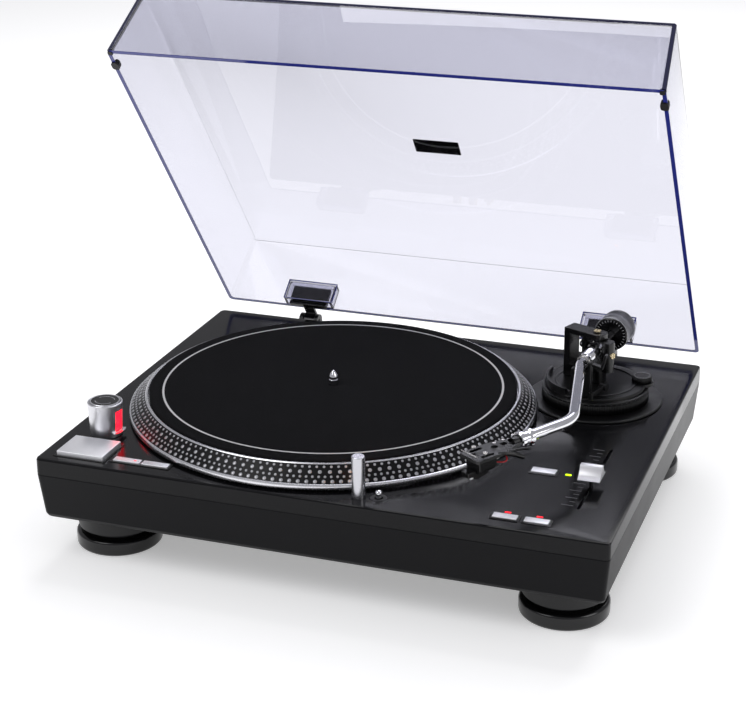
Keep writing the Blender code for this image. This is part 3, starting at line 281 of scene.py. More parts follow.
def grained(finish, grain_mm, depth_mm, rough_low, rough_high, detail=3.0):
    """A fine even grain with slow patches of duller surface, as spraying and moulding leave."""
    tree, shader = finish.node_tree, shader_of(finish)
    place = object_place(tree)
    fine = add_node(tree, "ShaderNodeTexNoise", {"Scale": 1 / (grain_mm * MM), "Detail": detail},
        {"Vector": place})
    slow = add_node(tree, "ShaderNodeTexNoise", {"Scale": 18.0, "Detail": 4.0}, {"Vector": place})
    roughen(tree, shader, slow.outputs["Fac"], rough_low, rough_high)
    emboss(tree, shader, fine.outputs["Fac"], depth_mm)
    return finish


def lined(finish, stretch, line_mm, depth_mm, rough_low, rough_high):
    """Straight brushing: a noise drawn out along one axis."""
    tree, shader = finish.node_tree, shader_of(finish)
    place = object_place(tree, stretch)
    lines = add_node(tree, "ShaderNodeTexNoise", {"Scale": 1 / (line_mm * MM), "Detail": 5.0},
        {"Vector": place})
    roughen(tree, shader, lines.outputs["Fac"], rough_low, rough_high)
    emboss(tree, shader, lines.outputs["Fac"], depth_mm)
    return finish


def ringed(finish, centre, line_mm, depth_mm, rough_low, rough_high):
    """Turning marks: a noise that depends only on the distance from an upright axis."""
    tree, shader = finish.node_tree, shader_of(finish)
    place = object_place(tree, (1, 1, 0), centre)
    radius = add_node(tree, "ShaderNodeVectorMath", {"operation": "LENGTH"}, {0: place})
    lines = add_node(
        tree, "ShaderNodeTexNoise",
        {"noise_dimensions": "1D", "Scale": 1 / (line_mm * MM), "Detail": 4.0},
        {"W": radius.outputs["Value"]},
    )
    roughen(tree, shader, lines.outputs["Fac"], rough_low, rough_high)
    emboss(tree, shader, lines.outputs["Fac"], depth_mm)
    return finish


def surfaced(texture, measures, *look, **sockets):
    """A finish whose surface is made once, by grained, lined or ringed."""
    made, new = finish_named(*look, **sockets)
    return texture(made, *measures) if new else made


def deck_enamel():
    """Stoved semi-gloss enamel on steel: deep black with a soft mirror of what stands on it."""
    colour = bpy.context.scene.turntable_case.enamel
    return surfaced(grained, (0.7, 0.003, 0.12, 0.2), "semi_gloss_enamel", colour, 0.2,
        sockets={"Specular IOR Level": 0.2})


def case_moulding():
    """Satin ABS from a fine-sparked mould, a little duller than the deck."""
    colour = bpy.context.scene.turntable_case.moulding
    return surfaced(grained, (0.5, 0.006, 0.3, 0.4), "satin_abs", colour, 0.36,
        sockets={"Specular IOR Level": 0.12})


def black_abs():
    """Black ABS with a light texture, as on the arm's base and the bezels."""
    return surfaced(grained, (0.35, 0.005, 0.26, 0.4), "textured_abs", "#0b0b0c", 0.34,
        sockets={"Specular IOR Level": 0.35})


def gloss_abs():
    """Polished black ABS, as on the knob's top and the cartridge."""
    return surfaced(grained, (1.5, 0.002, 0.1, 0.2), "polished_abs", "#0a0a0b", 0.14)


def powder_black():
    """Black powder coat on cast metal: fine orange peel and rounded glints."""
    return surfaced(grained, (0.9, 0.008, 0.2, 0.32), "powder_coat", "#080809", 0.26)


def foot_rubber():
    """Moulded rubber, matt with a faint bloom."""
    return surfaced(grained, (0.6, 0.01, 0.42, 0.6), "moulded_rubber", "#111112", 0.5)


def gloss_rubber():
    """The feet's lower shells, polished in the mould."""
    return surfaced(grained, (2.0, 0.003, 0.12, 0.22), "polished_foot_shell", "#0c0c0d", 0.16)


def brushed_aluminium():
    """Brushed and clear-anodised aluminium, lines running left to right."""
    return surfaced(lined, ((0.03, 1, 1), 0.3, 0.0015, 0.42, 0.55), "brushed_aluminium", "#f2f2f5", 0.46, 1.0)


def upright_brushed():
    """Aluminium brushed round an upright tube: short level lines."""
    return surfaced(lined, ((0.05, 0.05, 1), 0.3, 0.0006, 0.26, 0.34), "spun_aluminium", "#dcdce0", 0.3, 1.0)


def turned_aluminium():
    """Diamond-turned aluminium of the platter's bands, its fine rings about the spindle."""
    return surfaced(ringed, (joint_place("platter_spin"), 0.3, 0.004, 0.18, 0.32), "turned_aluminium",
        "#e4e4e8", 0.24, 1.0)


def black_anodising():
    """Black anodised slope between the strobe dots."""
    return surfaced(ringed, (joint_place("platter_spin"), 0.4, 0.003, 0.3, 0.42), "black_anodising",
        "#0b0b0d", 0.36, sockets={"Specular IOR Level": 0.2})


def machined_dots():
    """The strobe dots' bare aluminium, duller than the bands."""
    return surfaced(ringed, (joint_place("platter_spin"), 0.3, 0.002, 0.3, 0.4), "machined_dots", "#b8b8bc",
        0.34, 1.0)


def satin_chrome():
    """Satin chrome of the target lamp's tube."""
    return surfaced(grained, (1.2, 0.002, 0.22, 0.3), "satin_chrome", "#cfcfd4", 0.26, 1.0)


def chrome():
    """Bright chrome plate, with the slight waver of a polished tube."""
    return surfaced(grained, (6.0, 0.01, 0.04, 0.09, 1.0), "chrome_plate", "#e8e8ec", 0.06, 1.0)


def satin_nickel():
    """Satin nickel of small turned parts."""
    return surfaced(grained, (1.0, 0.004, 0.18, 0.3), "satin_nickel", "#c4c2bf", 0.22, 1.0)


def brass():
    """Gilt brass of the bearing screws and sockets."""
    return surfaced(grained, (1.0, 0.003, 0.16, 0.28), "gilt_brass", "#cdbf9c", 0.24, 1.0)


def knurled_steel():
    """Blackened steel with a straight knurl, worn to grey on its points."""
    return surfaced(grained, (0.5, 0.006, 0.3, 0.42), "blackened_steel", "#86868a", 0.36, 0.95)


def zinc_sheet():
    """Zinc-plated sheet steel: grey with faint spangle."""
    return surfaced(grained, (4.0, 0.01, 0.3, 0.5), "zinc_plate", "#a8aaac", 0.4, 1.0)


def copper_winding():
    """Enamelled copper wire, its turns a fraction of a millimetre apart."""
    return surfaced(lined, ((1, 1, 0.05), 0.5, 0.05, 0.25, 0.4), "enamelled_copper", "#b0602c", 0.32, 0.9)


def circuit_board():
    """Green solder resist over fibreglass."""
    return surfaced(grained, (0.8, 0.01, 0.3, 0.42), "solder_resist", "#0f4a26", 0.36)


def ferrite():
    """Laminated iron and sintered magnet, dark grey and dull."""
    return surfaced(grained, (1.0, 0.02, 0.48, 0.64), "sintered_ferrite", "#3a3a3d", 0.55, 0.6)


def printed_ink():
    """White screen-printed ink, faded to grey on the black deck."""
    return surfaced(grained, (0.4, 0.002, 0.45, 0.55), "printed_ink", "#8c8c90", 0.5)


def white_ink():
    """White filled marks on the arm's black knob and dial."""
    return surfaced(grained, (0.4, 0.002, 0.45, 0.55), "white_ink", "#d8d8dc", 0.5)


def coloured_plastic(name, colour):
    """PVC round the cartridge's fine leads."""
    return surfaced(grained, (0.5, 0.002, 0.3, 0.42), name, colour, 0.35)


def lamp(name, colour, strength):
    """A small diffused lamp window, moulded in tinted acrylic."""
    made, new = finish_named(name, colour, 0.3)
    if new:
        shader = shader_of(made)
        shader.inputs["Emission Color"].default_value = linear(colour)
        shader.inputs["Emission Strength"].default_value = strength
        grained(made, 1.5, 0.004, 0.25, 0.35)
    return made


def mat_felt():
    """Pressed felt: short fibres of mixed greys, with one ring printed near the edge."""
    settings = bpy.context.scene.turntable_platter
    made, new = finish_named(
        "pressed_felt", settings.felt, 0.95, sockets={"Specular IOR Level": 0.06},
    )
    if not new:
        return made
    tree, shader = made.node_tree, shader_of(made)
    centre = joint_place("platter_spin")
    place = object_place(tree, (1, 1, 1), centre)
    fibre = add_node(tree, "ShaderNodeTexNoise", {"Scale": 1800.0, "Detail": 6.0}, {"Vector": place})
    colour = add_node(tree, "ShaderNodeMix", {"data_type": "RGBA"}, {0: fibre.outputs["Fac"]})
    colour.inputs[6].default_value = linear("#0b0b0c")
    colour.inputs[7].default_value = linear("#232325")
    flat = add_node(tree, "ShaderNodeVectorMath", {"operation": "MULTIPLY", 1: (1, 1, 0)}, {0: place})
    radius = add_node(tree, "ShaderNodeVectorMath", {"operation": "LENGTH"}, {0: flat.outputs[0]})
    away = add_node(
        tree, "ShaderNodeMath", {"operation": "COMPARE", 1: settings.ring_radius * MM,
                                 2: settings.ring_width / 2 * MM}, {0: radius.outputs["Value"]},
    )
    printed = add_node(tree, "ShaderNodeMix", {"data_type": "RGBA"},
        {0: away.outputs[0], 6: colour.outputs[2]})
    printed.inputs[7].default_value = linear("#d4d4d4")
    tree.links.new(printed.outputs[2], shader.inputs["Base Color"])
    emboss(tree, shader, fibre.outputs["Fac"], 0.25)
    return made


def clear_acrylic():
    """Injection-moulded acrylic, clear with a faint violet tint."""
    colour = bpy.context.scene.turntable_cover.tint
    return finish_named("clear_acrylic", colour, 0.0, sockets={"Transmission Weight": 1.0, "IOR": 1.49})[0]


def acrylic_edge(name, colour):
    """A polished edge of the tinted acrylic, where the light inside gathers to blue."""
    return surfaced(grained, (8.0, 0.004, 0.05, 0.12), name, colour, 0.08, sockets={"Coat Weight": 0.5})


# Meshes, in millimetres


def metres(values):
    return Vector(values) * MM


def closed_mesh(bm, name, turn_out=True):
    if turn_out:
        bmesh.ops.recalc_face_normals(bm, faces=bm.faces)
    mesh = bpy.data.meshes.new(name)
    bm.to_mesh(mesh)
    bm.free()
    mesh.shade_smooth()
    mesh.set_sharp_from_angle(angle=math.radians(SHARP_ANGLE))
    return mesh


def loft(rings, name="loft", capped=True):
    """A body through rings of equally many points, each (x, y, z)."""
    bm = bmesh.new()
    loops = [[bm.verts.new(metres(point)) for point in ring] for ring in rings]
    count = len(loops[0])
    for lower, upper in zip(loops, loops[1:]):
        for index in range(count):
            following = (index + 1) % count
            bm.faces.new((lower[index], lower[following], upper[following], upper[index]))
    if capped:
        bm.faces.new(reversed(loops[0]))
        bm.faces.new(loops[-1])
    return closed_mesh(bm, name)


def turned(profile, segments=96):
    """A closed (radius, height) profile spun round Z, closed on the axis where it meets it."""
    bm = bmesh.new()
    points = [bm.verts.new(metres((radius, 0, height))) for radius, height in profile]
    pairs = list(zip(points, points[1:] + points[:1]))
    edges = [bm.edges.new(pair) for pair in pairs if max(abs(end.co.x) for end in pair) > 1e-9]
    bmesh.ops.spin(
        bm, geom=points + edges, cent=(0, 0, 0), axis=(0, 0, 1),
        angle=math.tau, steps=segments, use_merge=True,
    )
    bmesh.ops.remove_doubles(bm, verts=bm.verts, dist=1e-7)
    return closed_mesh(bm, "turned")


def rounded_outline(width, depth, radius, centre=(0.0, 0.0), steps=6):
    points = []
    for corner in range(4):
        side_x = 1 if corner in (0, 3) else -1
        side_y = 1 if corner in (0, 1) else -1
        middle_x = centre[0] + side_x * (width / 2 - radius)
        middle_y = centre[1] + side_y * (depth / 2 - radius)
        for step in range(steps + 1):
            angle = math.radians(90 * (corner + step / steps))
            points.append((middle_x + radius * math.cos(angle), middle_y + radius * math.sin(angle)))
    return points


def pillow(width, depth, low, high, corner, edge, centre=(0.0, 0.0)):
    """A block with round corners and a rounded upper edge."""
    rings = []
    levels = [(low, 0.0)] + [
        (high - edge + edge * math.sin(math.radians(a)), edge * (1 - math.cos(math.radians(a))))
        for a in (0, 30, 60, 90)
    ]
    for height, inset in levels:
        outline = rounded_outline(width - 2 * inset, depth - 2 * inset, max(corner - inset, 0.1), centre)
        rings.append([(x, y, height) for x, y in outline])
    return loft(rings, "pillow")


def arc_block(inner, outer, low, high, start, end):
    """A block bent round the Z axis between two angles in degrees."""
    steps = max(2, round(abs(end - start) / 4))
    rings = []
    for step in range(steps + 1):
        angle = math.radians(start + (end - start) * step / steps)
        corners = ((inner, low), (outer, low), (outer, high), (inner, high))
        rings.append([(radius * math.cos(angle), radius * math.sin(angle), z) for radius, z in corners])
    return loft(rings, "arc_block")


def swept(path, radii, segments=32):
    """A round bar of changing radius along a path of points."""
    rings = []
    side = None
    for index, point in enumerate(path):
        before, after = path[max(index - 1, 0)], path[min(index + 1, len(path) - 1)]
        along = (Vector(after) - Vector(before)).normalized()
        if side is None:
            side = along.orthogonal().normalized()
        side = (side - along * side.dot(along)).normalized()
        other = along.cross(side)
        ring = []
        for step in range(segments):
            angle = math.tau * step / segments
            offset = side * math.cos(angle) + other * math.sin(angle)
            ring.append(Vector(point) + offset * radii[index])
        rings.append(ring)
    return loft(rings, "swept")


def joined(*meshes):
    """Several meshes as one, their materials kept apart in order."""
    bm = bmesh.new()
    for index, mesh in enumerate(meshes):
        start = len(bm.faces)
        bm.from_mesh(mesh)
        bm.faces.ensure_lookup_table()
        for face in bm.faces[start:]:
            face.material_index = index
    return closed_mesh(bm, "joined", turn_out=False)


def rotated_about(axis_name, degrees):
    return Matrix.Rotation(math.radians(degrees), 4, axis_name)


# Pieces


def piece(name, mesh, finishes, body, stands_for=(), place=None):
    """A finished piece on a CAD body. place carries its millimetres to the row's."""
    if place is not None:
        scale = Matrix.Scale(MM, 4)
        mesh.transform(scale @ place @ scale.inverted())
    for finish in finishes:
        mesh.materials.append(finish)
    made = bpy.data.objects.new(name, mesh)
    bpy.context.scene.collection.objects.link(made)
    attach(made, body)
    if stands_for:
        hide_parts(*stands_for)
    return made


def body_of(node):
    return frame["nodes"][node]["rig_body"]


def refined(node, finish, edge=0.3, segments=2):
    """A CAD node's own shape with its edges broken, standing for the node."""
    bm = bmesh.new()
    bm.from_mesh(frame["nodes"][node].data)
    bmesh.ops.remove_doubles(bm, verts=bm.verts, dist=2e-6)
    bmesh.ops.dissolve_limit(
        bm, angle_limit=math.radians(1), verts=bm.verts, edges=bm.edges, delimit={"NORMAL"},
    )
    mesh = closed_mesh(bm, f"{node}_refined", turn_out=False)
    rough = bpy.data.objects.new(f"{node}_rough", mesh)
    bpy.context.scene.collection.objects.link(rough)
    bevel = rough.modifiers.new("edge", "BEVEL")
    bevel.width = edge * MM
    bevel.segments = segments
    bevel.limit_method = "ANGLE"
    bevel.angle_limit = math.radians(34)
    bevel.harden_normals = True
    return piece(f"{node}_piece", plain_copy(rough), [finish], body_of(node), [node])


def plain_copy(carrier):
    """The carrier's evaluated shape as a plain mesh; the carrier is removed."""
    bpy.context.view_layer.update()
    graph = bpy.context.evaluated_depsgraph_get()
    mesh = bpy.data.meshes.new_from_object(carrier.evaluated_get(graph), depsgraph=graph)
    bpy.data.objects.remove(carrier)
    return mesh


# Geometry Nodes for what repeats


def new_tree(name, inputs):
    tree = bpy.data.node_groups.new(name, "GeometryNodeTree")
    for label, kind, default in inputs:
        socket = tree.interface.new_socket(label, in_out="INPUT", socket_type=kind)
        socket.default_value = default
    tree.interface.new_socket("Finish", in_out="INPUT", socket_type="NodeSocketMaterial")
    tree.interface.new_socket("Geometry", in_out="OUTPUT", socket_type="NodeSocketGeometry")
    return tree


def finish_tree(tree, instances, inputs):
    """Realises the copies, gives them their finish and sends them out."""
    realised = add_node(tree, "GeometryNodeRealizeInstances", links={"Geometry": instances})
    smooth = add_node(tree, "GeometryNodeSetShadeSmooth", links={"Geometry": realised.outputs[0]})
    painted = add_node(
        tree, "GeometryNodeSetMaterial",
        links={"Geometry": smooth.outputs[0], "Material": inputs.outputs["Finish"]},
    )
    add_node(tree, "NodeGroupOutput", links={"Geometry": painted.outputs[0]})


def ring_tree(shape):
    """Copies of a dome or a bar round a circle, each facing outwards and leaning by Tilt."""
    name = f"{shape}_ring"
    if name in bpy.data.node_groups:
        return bpy.data.node_groups[name]
    tree = new_tree(name, [
        ("Count", "NodeSocketInt", 12), ("Radius", "NodeSocketFloat", 0.1),
        ("Height", "NodeSocketFloat", 0.0),
        ("Tilt", "NodeSocketFloat", 0.0), ("Size", "NodeSocketVector", (0.001, 0.001, 0.001)),
    ])
    inputs = add_node(tree, "NodeGroupInput")
    circle = add_node(
        tree, "GeometryNodeMeshCircle", links={"Vertices": inputs.outputs["Count"],
            "Radius": inputs.outputs["Radius"]},
    )
    if shape == "dome":
        copy = add_node(tree, "GeometryNodeMeshUVSphere", {"Segments": 10, "Rings": 5, "Radius": 1.0})
    else:
        copy = add_node(tree, "GeometryNodeMeshCylinder", {"Vertices": 6, "Radius": 1.0, "Depth": 2.0})
    outward = add_node(
        tree, "ShaderNodeVectorMath", {"operation": "NORMALIZE"},
        {0: add_node(tree, "GeometryNodeInputPosition").outputs[0]},
    )
    facing = add_node(
        tree, "FunctionNodeAlignRotationToVector", {"axis": "X"}, {"Vector": outward.outputs[0]},
    )
    lean = add_node(tree, "ShaderNodeCombineXYZ", links={"Y": inputs.outputs["Tilt"]})
    lean_turn = add_node(tree, "FunctionNodeEulerToRotation", links={"Euler": lean.outputs[0]})
    turned_copy = add_node(
        tree, "FunctionNodeRotateRotation", {"rotation_space": "LOCAL"},
        {"Rotation": facing.outputs[0], "Rotate By": lean_turn.outputs[0]},
    )
    spread = add_node(
        tree, "GeometryNodeInstanceOnPoints",
        links={"Points": circle.outputs[0], "Instance": copy.outputs["Mesh"],
               "Rotation": turned_copy.outputs[0], "Scale": inputs.outputs["Size"]},
    )
    lift = add_node(tree, "ShaderNodeCombineXYZ", links={"Z": inputs.outputs["Height"]})
    raised = add_node(
        tree, "GeometryNodeTransform", links={"Geometry": spread.outputs[0], "Translation": lift.outputs[0]},
    )
    finish_tree(tree, raised.outputs[0], inputs)
    return tree


def row_tree():
    """Blocks in a straight row along Y."""
    name = "block_row"
    if name in bpy.data.node_groups:
        return bpy.data.node_groups[name]
    tree = new_tree(name, [
        ("Count", "NodeSocketInt", 5), ("Start", "NodeSocketVector", (0, 0, 0)),
        ("Step", "NodeSocketVector", (0, 0.01, 0)), ("Size", "NodeSocketVector", (0.001, 0.001, 0.001)),
    ])
    inputs = add_node(tree, "NodeGroupInput")
    line = add_node(
        tree, "GeometryNodeMeshLine", {"mode": "OFFSET"},
        {"Count": inputs.outputs["Count"], "Start Location": inputs.outputs["Start"],
         "Offset": inputs.outputs["Step"]},
    )
    block = add_node(tree, "GeometryNodeMeshCube", links={"Size": inputs.outputs["Size"]})
    spread = add_node(
        tree, "GeometryNodeInstanceOnPoints", links={"Points": line.outputs[0],
            "Instance": block.outputs["Mesh"]},
    )
    finish_tree(tree, spread.outputs[0], inputs)
    return tree


def grown(tree, name, finish, **values):
    """The mesh that a tree makes from named values."""
    carrier = bpy.data.objects.new(name, bpy.data.meshes.new(name))
    bpy.context.scene.collection.objects.link(carrier)
    modifier = carrier.modifiers.new("grow", "NODES")
    modifier.node_group = tree
    values["Finish"] = finish
    for item in tree.interface.items_tree:
        if item.in_out == "INPUT" and item.name in values:
            modifier[item.identifier] = values[item.name]
    mesh = plain_copy(carrier)
    mesh.materials.clear()
    return mesh


def ring_of(shape, name, finish, body, count, radius, height, size, tilt=0.0, place=None):
    """A ring of domes or bars about the local Z axis, in millimetres."""
    mesh = grown(
        ring_tree(shape), name, finish, Count=count, Radius=radius * MM, Height=height * MM,
        Tilt=math.radians(tilt), Size=[value * MM for value in size],
    )
    return piece(name, mesh, [finish], body, place=place)


def row_of(name, finish, body, count, start, step, size):
    mesh = grown(
        row_tree(), name, finish, Count=count, Start=[value * MM for value in start],
        Step=[value * MM for value in step], Size=[value * MM for value in size],
    )
    return piece(name, mesh, [finish], body)


# Case, deck and feet


class TURNTABLE_OT_case(bpy.types.Operator):
    """Deck, case, feet and rear connections"""

    bl_idname = "turntable.case"
    bl_label = "Case and feet"

    def execute(self, context):
        edge = context.scene.turntable_case.edge
        refined("top_cover", deck_enamel(), 0.35)
        refined("bottom_case", case_moulding(), edge, 3)
        for row in ("front", "rear"):
            for side in ("left", "right"):
                foot(f"foot_{row}_{side}")
        refined("rear_panel", case_moulding(), edge)
        refined("power_inlet", black_abs(), 0.3)
        refined("phono_line_switch", black_abs(), 0.2)
        for name in ("rca_left", "rca_right", "ground_post"):
            refined(name, brass(), 0.25)
        inlet_pins()
        return {"FINISHED"}


def foot(node):
    """A height-adjusting foot: glossy lower shell, groove, and a matt collar under the case."""
    low, high = mm_box(node)
    outer, top = (high.x - low.x) / 2, high.z - low.z
    shell = [(0, 0), (outer - 2.2, 0), (outer - 1.2, 0.4), (outer - 0.3, 1.4), (outer, 2.8), (outer, 8.6)]
    shell += [
        (outer - 3.2 + 3.2 * math.cos(math.radians(a)), 9.6 + 2.9 * math.sin(math.radians(a)))
        for a in range(0, 91, 15)
    ]
    shell += [(outer - 8, 12.9), (0, 12.9)]
    collar = [(0, 12.6), (outer - 8, 12.6), (outer - 8, 16.4), (outer - 3.2, 16.4), (outer - 2.2, 16.9)]
    collar += [(outer - 2, 17.9), (outer - 2, top - 0.6), (outer - 2.6, top), (0, top)]
    place = Matrix.Translation(((low.x + high.x) / 2, (low.y + high.y) / 2, low.z))
    mesh = joined(turned(shell), turned(collar))
    piece(f"{node}_piece", mesh, [gloss_rubber(), foot_rubber()], "case", [node], place)


def inlet_pins():
    """The two round pins in the mains inlet."""
    low, high = mm_box("power_inlet")
    centre = (low + high) / 2
    pins = []
    for side in (-1, 1):
        x = centre.x + side * 4.3
        pins.append(swept([(x, high.y - 11.8, centre.z), (x, high.y - 2.5, centre.z)], [1.2, 1.0], 16))
    piece("inlet_pins", joined(*pins), [satin_nickel(), satin_nickel()], "case")


# Platter and motor


class TURNTABLE_OT_platter(bpy.types.Operator):
    """Platter with its strobe dots, the felt mat, the spindle and the motor"""

    bl_idname = "turntable.platter"
    bl_label = "Platter and motor"

    def execute(self, context):
        centre = joint_place("platter_spin")
        place = Matrix.Translation((centre.x, centre.y, 0))
        platter_wheel(place)
        strobe_dots(place)
        felt_mat(place)
        spindle_pin(place)
        refined("rotor_magnet", ferrite(), 0.4)
        refined("motor_stator", copper_winding(), 0.4)
        refined("motor_base", zinc_sheet(), 0.3)
        return {"FINISHED"}


def platter_levels():
    """The platter's radius and its levels: underside, the deck's top and the platter's top."""
    low, high = mm_box("platter")
    deck = mm_box("top_cover")[1].z
    return (high.x - low.x) / 2, low.z, deck, high.z


def slope_ends():
    """The strobe slope's outer and inner ends, as (radius, height)."""
    rim, _, deck, top = platter_levels()
    return (rim - 1.2, deck + 6.0), (rim - 13.5, top - 0.6)


def platter_wheel(place):
    rim, low, deck, top = platter_levels()
    (outer, outer_z), (inner, inner_z) = slope_ends()
    mat_low, mat_high = mm_box("slipmat")
    floor, mat = mat_low.z - 0.3, (mat_high.x - mat_low.x) / 2
    skirt, bore = rim - 6, 5.3
    band = [(rim - 1.0, deck + 1.6), (rim - 0.2, deck + 2.0), (rim, deck + 2.8), (rim, deck + 4.6)]
    band += [(rim - 0.3, deck + 5.4), (outer, outer_z), (outer - 0.5, outer_z + 0.1),
        (outer - 0.5, deck + 1.6)]
    slope = [(outer - 0.3, deck + 1.7), (outer - 0.2, outer_z), (inner + 0.2, inner_z),
        (inner + 0.2, deck + 8)]
    crown = [(inner + 0.4, inner_z - 0.4), (inner + 0.1, inner_z + 0.1), (inner - 0.5, top), (mat + 1.2, top)]
    crown += [(mat + 0.8, top - 0.3), (mat + 0.6, floor), (bore, floor), (bore, deck + 4), (40, deck + 4)]
    crown += [(44, deck + 11), (skirt - 5, deck + 11), (skirt - 5, low), (skirt, low), (skirt, deck + 1.6)]
    crown += [(inner + 0.4, deck + 1.7)]
    mesh = joined(turned(band, 240), turned(slope, 240), turned(crown, 240))
    finishes = [turned_aluminium(), black_anodising(), turned_aluminium()]
    piece("platter_piece", mesh, finishes, "platter", ["platter"], place)


def strobe_dots(place):
    """Four rows of raised dots for 33 and 45 turns a minute under 50 and 60 hertz lamps."""
    (outer, outer_z), (inner, inner_z) = slope_ends()
    lean = math.degrees(math.atan2(inner_z - outer_z, outer - inner))
    height = bpy.context.scene.turntable_platter.dot_height
    rows = ((180, 0.13, 1.1), (133, 0.38, 1.6), (216, 0.62, 1.1), (160, 0.86, 1.6))
    for count, share, radius in rows:
        ring_of(
            "dome", f"strobe_row_{count}", machined_dots(), "platter", count,
            inner + (outer - inner) * share, inner_z + (outer_z - inner_z) * share,
            (radius, radius, height), lean, place,
        )


def felt_mat(place):
    low, high = mm_box("slipmat")
    radius, hole = (high.x - low.x) / 2, MAT_HOLE
    profile = [(hole, low.z), (radius - 0.3, low.z), (radius, low.z + 0.6), (radius, high.z - 1.2)]
    profile += [
        (radius - 1.1 + 1.1 * math.cos(math.radians(a)), high.z - 1.1 + 1.1 * math.sin(math.radians(a)))
        for a in (20, 45, 70, 90)
    ]
    profile += [(hole + 0.6, high.z), (hole, high.z - 0.4)]
    piece("slipmat_piece", turned(profile, 200), [mat_felt()], "platter", ["slipmat"], place)


def spindle_pin(place):
    """The record pin: a straight neck, a slightly wider head and a rounded point."""
    low, high = mm_box("spindle")
    shaft, neck, tip = (high.x - low.x) / 2, 3.6, high.z
    floor = mm_box("slipmat")[0].z - 0.3
    profile = [(0, low.z), (shaft - 1, low.z), (shaft, low.z + 1), (shaft, floor), (neck, floor)]
    profile += [(neck, tip - 8.2), (neck - 0.7, tip - 7.6), (neck - 0.7, tip - 6.9), (neck, tip - 6.3)]
    profile += [(neck, tip - 5), (neck - 0.8, tip - 3.4), (neck - 1.8, tip - 1.8), (1, tip - 0.5), (0, tip)]
    piece("spindle_piece", turned(profile, 48), [chrome()], "platter", ["spindle"], place)


# Controls


class TURNTABLE_OT_controls(bpy.types.Operator):
    """Power tower, buttons, lamps, pitch fader and target light"""

    bl_idname = "turntable.controls"
    bl_label = "Controls"

    def execute(self, context):
        power_tower()
        push_buttons()
        small_lamps()
        pitch_fader()
        target_light()
        return {"FINISHED"}


def power_tower():
    """Spun tower with its lamp window and the lip below it, and the turning cap on top, whose grey arcs are a
    painted highlight standing for the arc groove in its top.
    """
    centre, deck = joint_place("power_turn"), mm_box("top_cover")[1].z
    place = Matrix.Translation((centre.x, centre.y, 0))
    refined("strobe_tower", upright_brushed(), 0.35, 3)
    window = middle("strobe_lens") - centre
    aim = math.degrees(math.atan2(window.y, window.x))
    lip = arc_block(12.8, 15.3, deck + 3.6, deck + 4.7, aim - 34, aim + 34)
    piece("window_lip", lip, [upright_brushed()], "case", place=place)
    red = bpy.context.scene.turntable_controls.red
    refined("strobe_lens", lamp("red_strobe_lens", red, 3.2), 0.3)
    cap_low, cap_high = mm_box("power_knob")
    radius, top = (cap_high.x - cap_low.x) / 2, cap_high.z
    rim = [(radius - 1.0, top - 2.4), (radius, top - 2.4), (radius, top - 0.4), (radius - 0.4, top),
        (radius - 1.0, top)]
    cap = [(0, cap_low.z), (3, cap_low.z), (3, top - 2.4), (radius - 0.9, top - 2.4),
        (radius - 0.9, top - 0.2), (0, top - 0.2)]
    # Painted highlight: these two grey arcs in printed ink stand for the light caught in the cap's arc groove,
    # which is not cut into the cap
    marks = [arc_block(7.2, 8.0, top - 0.3, top - 0.1, start, start + 128) for start in (26, 206)]
    mesh = joined(turned(cap), turned(rim), *marks)
    finishes = [gloss_abs(), upright_brushed(), printed_ink(), printed_ink()]
    piece("power_knob_piece", mesh, finishes, "power_knob", ["power_knob"], place)


def push_buttons():
    """Brushed caps in black bezels."""
    for node, corner, edge in (
        ("start_stop_button", 0.8, 0.7), ("speed_button_33", 0.6, 0.4), ("speed_button_45", 0.6, 0.4),
        ("range_button", 0.6, 0.4), ("key_button", 0.6, 0.4), ("reset_button", 0.6, 0.4),
    ):
        low, high = mm_box(node)
        size, centre = high - low, (low + high) / 2
        mesh = pillow(size.x, size.y, low.z, high.z, corner, edge, (centre.x, centre.y))
        piece(f"{node}_piece", mesh, [brushed_aluminium()], node, [node])
    refined("start_stop_bezel", black_abs(), 0.3)
    refined("speed_bezel", black_abs(), 0.3)
    deck = mm_box("top_cover")[1].z
    for node in ("range_button", "key_button", "reset_button"):
        low, high = mm_box(node)
        size, centre = high - low, (low + high) / 2
        outer = rounded_outline(size.x + 3.4, size.y + 3.4, 1.2, (centre.x, centre.y), 4)
        inner = rounded_outline(size.x + 0.8, size.y + 0.8, 0.8, (centre.x, centre.y), 4)
        rings = [[(x, y, z) for x, y in outline] for outline, z in (
            (inner, deck + 0.05), (outer, deck + 0.05), (outer, deck + 0.5), (inner, deck + 0.8),
            (inner, deck + 0.05),
        )]
        piece(f"{node}_bezel", loft(rings, capped=False), [black_abs()], "case")


def small_lamps():
    """Red lamps behind the two front buttons, one on the 33 cap, and the green pitch lamp."""
    settings = bpy.context.scene.turntable_controls
    red = lamp("red_indicator", settings.red, 1.7)
    deck = mm_box("top_cover")[1].z
    for node in ("range_button", "key_button"):
        low, high = mm_box(node)
        x, y = (low.x + high.x) / 2, high.y + 4.6
        mesh = pillow(4.6, 1.6, deck - 0.4, deck + 0.35, 0.4, 0.2, (x, y))
        piece(f"{node}_lamp", mesh, [red], "case")
    low, high = mm_box("speed_button_33")
    mesh = pillow(2.0, 1.1, high.z - 0.2, high.z + 0.12, 0.4, 0.1, (high.x - 4.5, (low.y + high.y) / 2))
    piece("speed_lamp", mesh, [red], "speed_button_33")
    low, high = mm_box("reset_button")
    mesh = pillow(4.6, 2.2, deck - 0.4, deck + 0.4, 0.5, 0.3, (high.x + 9.2, (low.y + high.y) / 2 + 0.4))
    piece("pitch_lamp", mesh, [lamp("green_indicator", settings.green, 2.0)], "case")


